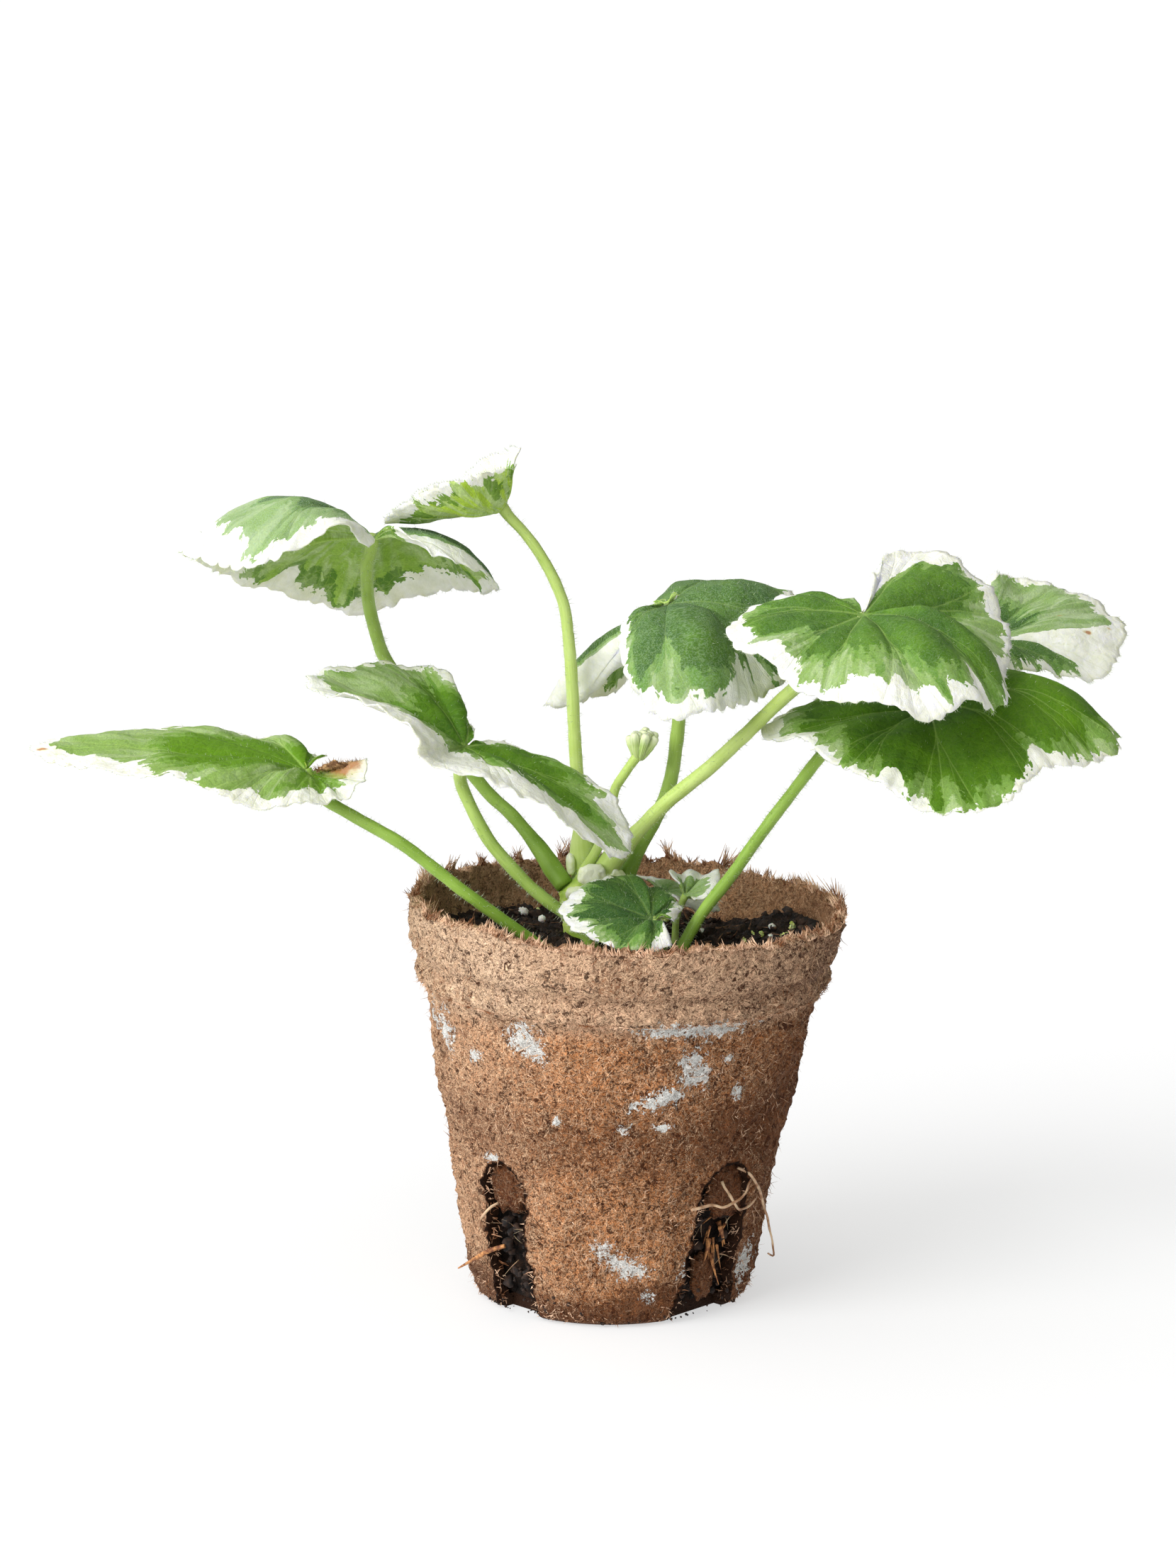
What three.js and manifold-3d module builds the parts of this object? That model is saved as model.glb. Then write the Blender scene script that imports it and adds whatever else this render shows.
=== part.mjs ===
// Potted zonal geranium with cream-edged leaves, standing in a round fibre pot.
// Millimetres, +Z up. The origin is the centre of the pot's underside; -Y is the front.
import * as THREE from "three";
import { mergeVertices } from "three/addons/utils/BufferGeometryUtils.js";
import Module from "manifold-3d";

const wasm = await Module();
wasm.setup();

// Driving dimensions of the pot
const POT_HEIGHT = 74;
const RIM_RADIUS = 40;
const WAIST_RADIUS = 35.7;
const FOOT_RADIUS = 24;
const WALL = 2.3;
const FLOOR = 2.4;
const LEAN_PER_MM = 0.04;
const RIM_TILT_PER_MM = 0.00055;
const OUT_OF_ROUND = 0.5;
const RIM_RAGGED = 0.8;
const POT_SIDES = 72;

// Radius and height down the outside and the inside of the wall
const BELLY_RADIUS = 30.4;
const OUTER_PROFILE = [
  [FOOT_RADIUS - 1, 0], [FOOT_RADIUS + 1.2, 1], [FOOT_RADIUS + 1.9, 4], [BELLY_RADIUS, 30],
  [WAIST_RADIUS, 58.6], [37.4, 59.5], [37.7, 61], [37.3, 64.2], [38.6, 65.4], [39, 68],
  [RIM_RADIUS - 0.2, POT_HEIGHT - 0.6],
];
const INNER_PROFILE = [
  [RIM_RADIUS - WALL, POT_HEIGHT], [RIM_RADIUS - WALL - 0.9, 68], [WAIST_RADIUS - WALL, 58],
  [BELLY_RADIUS - WALL, 30], [FOOT_RADIUS - 0.6, 4.4], [FOOT_RADIUS - 1.6, FLOOR],
];

// Drainage slots, cut through the wall from the foot upwards
const SLOT_WIDTH = 9.6;
const SLOT_TOP = 30;
const SLOT_INNER_RADIUS = 21.2;
const SLOT_ANGLES = [-135.5, -43.5, 44, 136];
const SLOT_ARC_STEPS = 6;

// Soil
const SOIL_LEVEL = 65;
const SOIL_SIDES = 36;
const SOIL_SHOULDER = 64;
const BANK_HEIGHT = 4;
const HOLLOW = { x: 19, y: 25, depth: 3.5, spread: 130 };
const SOIL_SHARES = [1, 0.8, 0.6, 0.4, 0.2];
const MOUND_HEIGHT = 3.2;
const MOUND_SPREAD = 260;
const CLEARANCE = 0.3;

// Crown, the short main stem that the stalks grow from
const CROWN = { x: -4.4, y: 0.5, foot: 55, top: 77, footRadius: 4.6, topRadius: 5.2 };

// Blades: TOOTH_DEPTH is a share of the way from hub to edge, and RING_SPREAD spaces the rings along it
const BLADE_THICKNESS = 0.7;
const TOOTH_LENGTH = 4.6;
const TOOTH_DEPTH = 0.035;
const FEWEST_TEETH = 8;
const EDGE_SAMPLES = 400;
const RING_SPREAD = 0.85;
const STALK_SIDES = 8;
const STALK_STEP = 7;
const STALK_TOP_GAP = 0.9;

const COLOURS = {
  pot: 0x9c7f66,
  soil: 0x2b211c,
  crown: 0xa9c265,
  stalk: 0x8fb34f,
  blade: 0x5f8f4a,
  bud: 0xa6c46d,
  root: 0xc9b08c,
};

// A leaf's outline is a ring of points measured from its hub, where the stalk meets the blade, in order
// counterclockwise seen from above, from one side of the sinus round to the other.
// Each row is x, y, z and how far the blade bows out of the straight line between hub and edge.
const LEAVES = {
  a: {
    hub: [-43.5, -6, 142.5],
    rings: 4,
    outline: [
      [6, -8, 1.5, 1], [15, -8, -3.5, 2.5], [21.5, 0, -8, 4], [21, 14, -12, 5], [8.5, 27, -14.5, 5],
      [-3, 30, -19, 3.5], [-14, 26, -15.5, 3.5], [-24, 21, -12, 3], [-28.5, 16, -9, 5],
      [-34, 2, -3, 8], [-28.5, -10, -3, 8.5], [-20, -18, -2.5, 8], [-11, -18, 1, 5],
      [-4, -15, 4.5, 1.5], [-1, -10, -0.5, 0.5],
    ],
    stalk: [
      [-43.4, -5.8, 143.5], [-43.6, -4.6, 140.5], [-44.5, -2, 136.5], [-44.5, 3, 129.5], [-43, 7, 121.5],
      [-41, 9, 116.5], [-33, 10, 105], [-23.5, 8, 93.5], [-18.5, 6, 89], [-14, 4, 84], [-11, 2, 80],
      [-8.6, 0.2, 76.8],
    ],
    stalkRadius: [1.2, 1.2],
  },
  b: {
    hub: [-20, -4, 148],
    rings: 3,
    outline: [
      [3.6, 9, 9.2, 0], [-1, 15, 7.5, -2], [-8, 13, 3, -2], [-14, 9, 1.5, -2], [-21, 0, -3, -1],
      [-14, -7, 3, -2.6], [-8.5, -10, 6, -3], [-2, -8, 6.8, -2], [3, -2, 7.6, 0.2],
    ],
    stalk: [
      [-20.6, -4.2, 148.6], [-18.6, -3.7, 146], [-15.5, -3, 142.5], [-12.5, -2.5, 138], [-10, -2, 133],
      [-8.5, -1.5, 128], [-7.5, -1, 118], [-7, 0, 107.5], [-6.5, 1, 99], [-5.5, 2, 88.5],
      [-5, 2.8, 82], [-4.6, 3.2, 77.5],
    ],
    stalkRadius: [0.95, 1.4],
  },
  c: {
    hub: [-26.5, -16, 106],
    rings: 4,
    outline: [
      [1.5, 5, 2, 0], [-1, 10, 6.5, 1], [-4.5, 13, 11.5, 1], [-9.5, 15, 11.5, 1], [-18, 12, 13, 2],
      [-28, 4, 12, 1.5], [-24.5, -6, 10.5, 1.2], [-17, -12, 10.5, 0.8], [-8.5, -20, 6, 0],
      [-6.5, -22, 2, -0.4], [1.5, -23, -1, 0], [12, -20, -5.5, 1.5], [22.5, -12, -15, 2.4],
      [28, -6, -19.5, 2], [30, 0, -16, 1.5], [27, 4, -10.5, 1], [18, 7, -5.5, 1], [10, 8, -2.5, 1],
      [4, 6, 0, 0],
    ],
    stalk: [
      [-26.6, -16, 106.8], [-27, -15.2, 103.8], [-27.5, -14, 101], [-27, -12, 97.5], [-23.5, -12, 90],
      [-20, -12, 85], [-15.5, -12, 80], [-11.5, -12, 76.5], [-8, -12, 74], [-5, -11.8, 71],
      [-3, -11.5, 66], [-2.5, -11.5, 58],
    ],
    stalkRadius: [1.15, 1.2],
  },
  e: {
    hub: [-55.5, -12, 101],
    rings: 3,
    outline: [
      [3.5, 8, 0.5, 0.5], [-2, 16, 0, 1.5], [-6.5, 21, 2, 1.5], [-16.5, 26, 1.5, 1.2],
      [-28.5, 26, 3, 1.6], [-38, 20, 2.5, 2.5], [-49, 8, 3, 2.5], [-47, 0, 2, 2], [-33.5, -14, 2, 2],
      [-20.5, -20, 2, 2], [-11.5, -22, -1, 2], [-6, -21, -3, 2.5], [1, -18, -2, 1.5],
      [5, -14, -3.5, 0], [9.5, -9, -1.7, -1], [11.5, -2, 2.2, -1],
    ],
    stalk: [
      [-55.8, -11.6, 102], [-54.6, -12.6, 99.4], [-52.5, -15, 97], [-50, -17, 95.5], [-40.5, -19, 90.5],
      [-36, -19, 87.5], [-31, -19, 83.5], [-26, -19, 79.5], [-21, -18, 75.5], [-16.5, -17, 72],
      [-12.5, -15.8, 68.5], [-9.5, -15, 64.5], [-7.5, -14.8, 58],
    ],
    stalkRadius: [1.08, 1.15],
  },
  f: {
    hub: [10.2, 0, 129.3],
    rings: 4,
    outline: [
      [-3.6, -2, -0.6, 0.3], [-8.2, -4.8, -3, 1], [-8.6, -10.5, -7.9, 2], [-5.6, -17, -13.3, 3.5],
      [-0.7, -21, -17.3, 5], [7.8, -20, -15.8, 6], [14.8, -8, -16.3, 6], [19.8, -2, -14.3, 5],
      [23.8, 3, -6.8, 4], [24.3, 10, -1.8, 3], [19.3, 20, -0.8, 2.6], [10.8, 27, -2.3, 3],
      [1.3, 29, -5.3, 2.6], [-5.7, 25, -14.3, 3], [-7.7, 20, -18.3, 3], [-13.2, 15, -19.8, 3.6],
      [-21.7, 9, -20.3, 2.8], [-15.7, 4, -18.3, 1.4], [-7.5, 3.2, -8, 0.6], [-2.4, 3.4, 1.2, 0],
      [0.4, 3.2, 4.2, 0], [2.4, 2.6, 3.6, 0],
    ],
    stalk: [
      [10, -0.2, 130.3], [10.6, 0.6, 126.8], [11.8, 3, 119], [12.5, 5, 110.5], [12, 5, 104], [11, 5, 96.5],
      [9, 5, 90.5], [5.5, 4.2, 84], [3.6, 3.6, 80], [1.6, 3, 76.5], [-0.6, 2.2, 73],
    ],
    stalkRadius: [1.2, 1.35],
  },
  g: {
    hub: [7, -21, 75.5],
    rings: 3,
    outline: [
      [3.5, 0, -1, 0.5], [5, 5, 0.5, 0.5], [3, 9, 2.5, 1], [-1.5, 10, 4.5, 1.5], [-6, 9, 5.5, 1.5],
      [-9.5, 7, 5, 1], [-14.5, 4, 3.5, 1], [-16.5, 1, 1, 1], [-15, -2, -0.5, 1], [-13.5, -5, -1.5, 1],
      [-7.5, -9, -3, 1], [-1.5, -10, -3.5, 1.2], [3.5, -8, -3.5, 0.8],
    ],
    stalk: [
      [6.9, -21.4, 76], [7.4, -19.6, 73.4], [8.4, -16.5, 70.5], [9, -13, 67.5], [8.5, -10, 64], [8, -8.5, 58],
    ],
    stalkRadius: [0.85, 1],
  },
  h: {
    hub: [45, -13, 129.5],
    rings: 4,
    outline: [
      [-1.5, 12, 0.5, 0], [-8, 14, 0.5, 1], [-16, 10, 1, 1.8], [-24, -3, -2, 1.5], [-22.5, -10, -5, 1],
      [-17.5, -14, -5.5, 1], [-13.5, -18, -10, 1.5], [-6.5, -23, -11.5, 2], [1.5, -25, -11.5, 3],
      [10.5, -25, -14.5, 3.5], [17, -21, -12, 4.5], [23, -14, -14.5, 6], [25.5, -4, -12.5, 7],
      [26.8, 6, -8, 1.2], [27.2, 14, -4.6, 0.6], [24.6, 20, 0.4, 1], [19.4, 23, 5.6, 0.5],
      [12, 24, 8.2, 0], [5, 20, 7.6, -0.6], [2, 11, 4, 0],
    ],
    stalk: [
      [45.3, -13.6, 130.2], [44.5, -12.2, 127.4], [42.5, -10, 124], [38, -9, 119.5], [32, -8, 114.5],
      [24.5, -5, 106.5], [17.5, -3, 99.5], [10, -2, 93], [3, -1.2, 85.5], [0, -1.4, 82], [-2.2, -1.6, 78.8],
    ],
    stalkRadius: [1.15, 1.4],
  },
  i: {
    hub: [58, 0, 110],
    rings: 4,
    outline: [
      [-5.5, 13, -1, 1], [-16.5, 13, -1, 2], [-27.5, 4, -2.5, 2], [-30.5, -7, -3.5, 1.5],
      [-24.5, -12, -3.5, 1], [-20, -19, -5.5, 1.5], [-12, -24, -8, 2], [-3.5, -28, -13, 3],
      [3, -29, -13.5, 3.5], [12, -28, -11.5, 4], [18.5, -22, -7, 5], [26.5, -17, -7, 7.5],
      [33, -10, -6, 9], [32.5, 3, -4, 8], [26.5, 13, -4, 8], [17.5, 17, -3, 6], [6.5, 17, -1, 2],
    ],
    stalk: [
      [58.4, -0.4, 110.8], [56.6, 1.4, 108.6], [53, 4, 107.2], [46, 3, 106], [41, 0, 104], [38, -2, 101.5],
      [32.5, -5, 95], [27, -7, 88], [22, -10, 81.5], [16.5, -13, 75], [13, -15, 69.5], [10.5, -16.2, 65],
      [9, -16.8, 58],
    ],
    stalkRadius: [1.06, 1.12],
  },
  j: {
    hub: [70, 24, 118.5],
    rings: 3,
    outline: [
      [-4, -8, -1, 0], [2.5, -11, -3, 1], [11, -8, -4.5, 2], [20, -3, -7, 2.5], [24, 1, -4.5, 3],
      [27, 10, 0, 3], [23.5, 17, 4, 2], [16.5, 20, 6.5, 1.5], [8.5, 19, 8.5, 1], [2, 15, 9.5, 0],
      [-1.5, 10, 3, 0],
    ],
    stalk: [
      [70.1, 23.8, 119.2], [69.7, 25.2, 116.4], [69, 28.5, 111.5], [62.5, 28.5, 105.5],
      [53, 22.5, 102.8], [46.9, 17.5, 102.4], [41.6, 10.8, 101.7], [38.3, 4.9, 100], [32.8, 0.2, 94.1],
      [27.3, -2.9, 87.1], [22.1, -5.9, 80.6], [16.6, -8.9, 74.1], [13.1, -10.9, 68.6],
      [10.8, -12.4, 64.5], [9.4, -13.2, 58],
    ],
    stalkRadius: [0.95, 1],
  },
  k: {
    hub: [13.5, -4, 76],
    rings: 2,
    outline: [
      [1.5, -3.4, -0.2, 0], [4.6, -2.5, 0.8, -0.3], [6.2, 2.5, 2, 0.2], [6, 6.5, 4, 0.4],
      [3.6, 8, 2.4, -0.8], [1.2, 7.5, 4, 0.3], [-1, 6, 2.6, -0.5], [-2.8, 3, 4.8, 0.2],
      [-2.2, 0.5, 2.8, 0],
    ],
    stalk: [[13.7, -3.8, 76.6], [12.8, -4, 74.6], [11.9, -4, 72], [11.6, -4, 68], [11.5, -4, 58]],
    stalkRadius: [0.6, 0.75],
  },
  l: {
    hub: [9.5, 6, 74.5],
    rings: 2,
    outline: [
      [2.5, -8, 0, 0], [6.5, -6, -2.5, 0.5], [10.5, 2, -4, 0.5], [7.5, 8, -2.5, 0.5],
      [1, 10, -0.5, 0.5], [-5, 6, 1.5, 0],
    ],
    stalk: [[9.7, 6.4, 75], [9.2, 5.2, 73], [8.2, 4, 70.5], [7.6, 3.4, 66], [7.4, 3.2, 58]],
    stalkRadius: [0.6, 0.75],
  },
};

// Flower-bud stalk and its head of closed green buds
const BUD_STALK = [
  [4.6, -0.4, 100.6], [2, 0, 97.5], [0.4, 0.4, 94.5], [-0.8, 0, 88.5], [-3, -1.2, 83.5], [-5.3, -2.4, 80.2],
  [-5.6, -2.6, 78.6],
];
const BUD_STALK_RADIUS = [0.85, 0.95];
const BUD_HEAD = { x: 5.2, y: -0.4, z: 101.2, height: 5.6, radius: 2.1 };
const SEPALS = 7;

// Fine roots that come out of the slots and lie against the pot: angle in degrees from +X, how far the
// middle of the root stands out of the pot's surface, and height
const ROOTS = {
  root_1: [[-47, -1.2, 26.5], [-44.5, 0.5, 23.4], [-41, 1, 20.8], [-35, 1.1, 20.6], [-30.5, 0.9, 21.6]],
  root_2: [[-62, 0.9, 22.8], [-56, 1.1, 23.2], [-50, 1.8, 22.6], [-43, 2.4, 23.8], [-36, 0.9, 25.8]],
  root_3: [
    [-40, -1.2, 28.5], [-36, 0.6, 27], [-31, 1.2, 24], [-26, 1.3, 20.8], [-20, 1.6, 17.5], [-14, 2.2, 14],
    [-11.5, 2.8, 12.2], [-14, 2.3, 12.8],
  ],
  root_4: [[-140, -1.2, 21.6], [-141, 0.5, 20.6], [-144, 1.3, 18.6], [-147, 1.2, 16]],
};
const ROOT_RADIUS = 0.4;

// Solids from closed triangle meshes, and back
function solidFrom(geometry) {
  const bare = geometry.index ? geometry.toNonIndexed() : geometry.clone();
  const points = new THREE.BufferGeometry();
  points.setAttribute("position", bare.getAttribute("position"));
  const merged = mergeVertices(points, 1e-4);
  const mesh = new wasm.Mesh({
    numProp: 3,
    vertProperties: new Float32Array(merged.attributes.position.array),
    triVerts: new Uint32Array(merged.index.array),
  });
  return new wasm.Manifold(mesh);
}

function geometryFrom(solid) {
  const mesh = solid.getMesh();
  const points = new Float32Array(mesh.numVert * 3);
  for (let i = 0; i < mesh.numVert; i += 1) {
    points.set(mesh.vertProperties.subarray(i * mesh.numProp, i * mesh.numProp + 3), i * 3);
  }
  const geometry = new THREE.BufferGeometry();
  geometry.setAttribute("position", new THREE.BufferAttribute(points, 3));
  geometry.setIndex(new THREE.BufferAttribute(new Uint32Array(mesh.triVerts), 1));
  geometry.computeVertexNormals();
  return geometry;
}

function largestBody(solid) {
  return solid.decompose().sort((one, other) => other.volume() - one.volume())[0];
}

// Closed mesh from rings of points; each ring has the same count, and both ends are closed to a point.
function closedRings(rings, startPoint, endPoint) {
  const count = rings[0].length;
  const points = [startPoint, ...rings.flat(), endPoint];
  const last = points.length - 1;
  const at = (ring, side) => 1 + ring * count + (side % count);
  const faces = [];
  for (let side = 0; side < count; side += 1) {
    faces.push(0, at(0, side + 1), at(0, side));
    faces.push(last, at(rings.length - 1, side), at(rings.length - 1, side + 1));
  }
  for (let ring = 0; ring + 1 < rings.length; ring += 1) {
    for (let side = 0; side < count; side += 1) {
      const [a, b] = [at(ring, side), at(ring, side + 1)];
      const [c, d] = [at(ring + 1, side), at(ring + 1, side + 1)];
      faces.push(a, b, d, a, d, c);
    }
  }
  return triangles(points, faces);
}

function triangles(points, faces) {
  const geometry = new THREE.BufferGeometry();
  geometry.setAttribute("position", new THREE.Float32BufferAttribute(points.flatMap((p) => p.toArray()), 3));
  geometry.setIndex(faces);
  return geometry;
}

// Tapered round stalk along a smooth line through the given points
function tube(route, radii, grow = 0, count = 0, sides = STALK_SIDES) {
  const curve = new THREE.CatmullRomCurve3(route.map((p) => new THREE.Vector3(...p)), false, "centripetal");
  const steps = count || Math.round(curve.getLength() / STALK_STEP);
  const frames = curve.computeFrenetFrames(steps, false);
  const rings = [];
  for (let step = 0; step <= steps; step += 1) {
    const t = step / steps;
    const centre = curve.getPointAt(t);
    const radius = THREE.MathUtils.lerp(radii[0], radii[1], t) + grow;
    const ring = [];
    for (let side = 0; side < sides; side += 1) {
      const angle = (2 * Math.PI * side) / sides;
      const point = centre.clone();
      point.addScaledVector(frames.normals[step], radius * Math.cos(angle));
      point.addScaledVector(frames.binormals[step], radius * Math.sin(angle));
      ring.push(point);
    }
    rings.push(ring);
  }
  const solid = solidFrom(closedRings(rings, curve.getPointAt(0), curve.getPointAt(1)));
  if (solid.volume() > 0) return solid;
  return solidFrom(closedRings(rings.reverse(), curve.getPointAt(1), curve.getPointAt(0)));
}

// Smooth interpolation through rows of numbers; u runs from 0 to rows.length - 1
function smoothRow(rows, u) {
  const i = Math.min(Math.floor(u), rows.length - 2);
  const t = u - i;
  const before = rows[i - 1] ?? rows[i].map((value, k) => 2 * value - rows[i + 1][k]);
  const after = rows[i + 2] ?? rows[i + 1].map((value, k) => 2 * value - rows[i][k]);
  return rows[i].map((p1, k) => {
    const [p0, p2, p3] = [before[k], rows[i + 1][k], after[k]];
    const bend = (2 * p0 - 5 * p1 + 4 * p2 - p3) * t * t + (3 * p1 - p0 - 3 * p2 + p3) * t * t * t;
    return 0.5 * (2 * p1 + (p2 - p0) * t + bend);
  });
}

// Middle surface of a blade: a fan of veins from the hub to the outline
function bladeSurface({ hub, outline }) {
  const centre = new THREE.Vector3(...hub);
  const edgeAt = (u) => new THREE.Vector3(...smoothRow(outline, u).slice(0, 3));
  const last = outline.length - 1;
  const meanUp = new THREE.Vector3();
  for (let i = 0; i < last; i += 1) {
    meanUp.add(edgeAt(i).cross(edgeAt(i + 1)));
  }
  meanUp.normalize();
  const upAt = (u) => {
    const [u0, u1] = [Math.max(0, u - 0.1), Math.min(last, u + 0.1)];
    return edgeAt(u0).cross(edgeAt(u1)).normalize().add(meanUp).normalize();
  };
  const pointAt = (u, rho) => {
    const [x, y, z, bow] = smoothRow(outline, u);
    const point = new THREE.Vector3(x, y, z).multiplyScalar(rho).add(centre);
    return point.addScaledVector(upAt(u), 4 * rho * (1 - rho) * bow);
  };
  const normalAt = (u, rho) => {
    const [u0, u1] = [Math.max(0, u - 0.05), Math.min(last, u + 0.05)];
    const outward = pointAt(u, rho + 0.02).sub(pointAt(u, rho - 0.02));
    const round = pointAt(u1, rho).sub(pointAt(u0, rho));
    return outward.cross(round).normalize();
  };
  return { centre, last, edgeAt, meanUp, pointAt, normalAt };
}

// Places along the outline at even distances, two to a tooth, so that every other one is a notch
function toothPlaces(surface) {
  const steps = EDGE_SAMPLES;
  const lengths = [0];
  let before = surface.edgeAt(0);
  for (let step = 1; step <= steps; step += 1) {
    const here = surface.edgeAt((surface.last * step) / steps);
    lengths.push(lengths[step - 1] + here.distanceTo(before));
    before = here;
  }
  const teeth = Math.max(FEWEST_TEETH, Math.round(lengths[steps] / TOOTH_LENGTH));
  const places = [];
  for (let i = 0, step = 0; i <= 2 * teeth; i += 1) {
    const wanted = (lengths[steps] * i) / (2 * teeth);
    while (step < steps - 1 && lengths[step + 1] < wanted) step += 1;
    const part = (wanted - lengths[step]) / (lengths[step + 1] - lengths[step]);
    places.push(Math.min(surface.last, (surface.last * (step + part)) / steps));
  }
  return places;
}

// Closed blade with scalloped edge; its top and underside are split into triangles alike.
function blade(leaf, thickness) {
  const surface = bladeSurface(leaf);
  const places = toothPlaces(surface);
  const columns = places.length;
  const faces = [];
  const points = [];
  const half = thickness / 2;
  for (const sign of [1, -1]) {
    points.push(surface.centre.clone().addScaledVector(surface.meanUp, sign * half));
    for (let ring = 1; ring <= leaf.rings; ring += 1) {
      const rho = Math.pow(ring / leaf.rings, RING_SPREAD);
      places.forEach((u, column) => {
        const tooth = (column % 2 ? 1 : -1) * TOOTH_DEPTH * Math.pow(rho, 4);
        const point = surface.pointAt(u, rho + tooth);
        points.push(point.addScaledVector(surface.normalAt(u, rho), sign * half));
      });
    }
  }
  const side = 1 + leaf.rings * columns;
  const at = (face, ring, column) => face * side + (ring ? 1 + (ring - 1) * columns + column : 0);
  for (let column = 0; column + 1 < columns; column += 1) {
    faces.push(at(0, 0), at(0, 1, column), at(0, 1, column + 1));
    faces.push(at(1, 0), at(1, 1, column + 1), at(1, 1, column));
    for (let ring = 1; ring < leaf.rings; ring += 1) {
      const [a, b] = [at(0, ring, column), at(0, ring, column + 1)];
      const [c, d] = [at(0, ring + 1, column), at(0, ring + 1, column + 1)];
      faces.push(a, c, d, a, d, b);
      faces.push(side + a, side + d, side + c, side + a, side + b, side + d);
    }
    const [p, q] = [at(0, leaf.rings, column), at(0, leaf.rings, column + 1)];
    faces.push(p, side + p, side + q, p, side + q, q);
  }
  for (let ring = 0; ring < leaf.rings; ring += 1) {
    const [a, b] = [at(0, ring, 0), at(0, ring + 1, 0)];
    const [c, d] = [at(0, ring, columns - 1), at(0, ring + 1, columns - 1)];
    faces.push(a, side + a, side + b, a, side + b, b);
    faces.push(c, side + d, side + c, c, d, side + d);
  }
  return solidFrom(triangles(points, faces));
}

// Fibre pot: a turned shape, then leaned, pressed out of round and given a ragged rim
function potPlace(radius, angle, height) {
  const round = 1 + (OUT_OF_ROUND / RIM_RADIUS) * Math.cos(2 * angle + 0.6);
  const x = radius * round * Math.cos(angle);
  const y = (radius * Math.sin(angle)) / round;
  const high = height / POT_HEIGHT;
  const tilt = 1 - RIM_TILT_PER_MM * x * high * high;
  return new THREE.Vector3(x + LEAN_PER_MM * height * high, y, height * tilt);
}

function rimHeight(angle) {
  const coarse = Math.sin(5 * angle + 0.7) + 0.7 * Math.sin(11 * angle + 2.1);
  return RIM_RAGGED * (0.45 * coarse + 0.5 * Math.sin(27 * angle) * Math.sin(3 * angle + 1));
}

function turnedPot(profile, topRow) {
  const rings = profile.map(([radius, height], row) => {
    const ring = [];
    for (let side = 0; side < POT_SIDES; side += 1) {
      const angle = (2 * Math.PI * side) / POT_SIDES;
      const raise = row === topRow || row === topRow + 1 ? rimHeight(angle) : 0;
      ring.push(potPlace(radius, angle, height + raise));
    }
    return ring;
  });
  return solidFrom(closedRings(rings, potPlace(0, 0, 0), potPlace(0, 0, FLOOR)));
}

function slotCutter(angleDegrees) {
  const half = SLOT_WIDTH / 2;
  const shape = new THREE.Shape();
  shape.moveTo(-half, -2);
  shape.lineTo(half, -2);
  shape.lineTo(half, SLOT_TOP - half);
  shape.absarc(0, SLOT_TOP - half, half, 0, Math.PI);
  shape.lineTo(-half, -2);
  const geometry = new THREE.ExtrudeGeometry(shape, {
    depth: RIM_RADIUS - SLOT_INNER_RADIUS,
    bevelEnabled: false,
    curveSegments: SLOT_ARC_STEPS,
  });
  geometry.rotateX(Math.PI / 2);
  geometry.translate(0, -SLOT_INNER_RADIUS, 0);
  geometry.rotateZ(THREE.MathUtils.degToRad(angleDegrees + 90));
  return solidFrom(geometry);
}

function rootPoint([degrees, stand, height]) {
  const above = OUTER_PROFILE.findIndex(([, z]) => z > height);
  const [[r0, z0], [r1, z1]] = [OUTER_PROFILE[above - 1], OUTER_PROFILE[above]];
  const radius = THREE.MathUtils.mapLinear(height, z0, z1, r0, r1) + stand;
  return potPlace(radius, THREE.MathUtils.degToRad(degrees), height).toArray();
}

function makePot() {
  let pot = turnedPot([...OUTER_PROFILE, ...INNER_PROFILE], OUTER_PROFILE.length - 1);
  for (const angle of SLOT_ANGLES) {
    pot = pot.subtract(slotCutter(angle));
  }
  return largestBody(pot);
}

// Soil: fills the pot up to an uneven surface that rises towards the crown and the two sides of the pot,
// with a hollow at the back
function soilHeight(x, y) {
  const mound = MOUND_HEIGHT * Math.exp(-((x - CROWN.x) ** 2 + (y - CROWN.y) ** 2) / MOUND_SPREAD);
  const uneven = Math.sin(0.31 * x + 1.2) * Math.cos(0.27 * y - 0.4) + 0.5 * Math.sin(0.83 * x + 0.61 * y);
  const bank = BANK_HEIGHT * (x / WAIST_RADIUS) ** 2;
  const hollow = HOLLOW.depth * Math.exp(-((x - HOLLOW.x) ** 2 + (y - HOLLOW.y) ** 2) / HOLLOW.spread);
  return SOIL_LEVEL + mound + bank - hollow + 0.7 * uneven;
}

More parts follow.
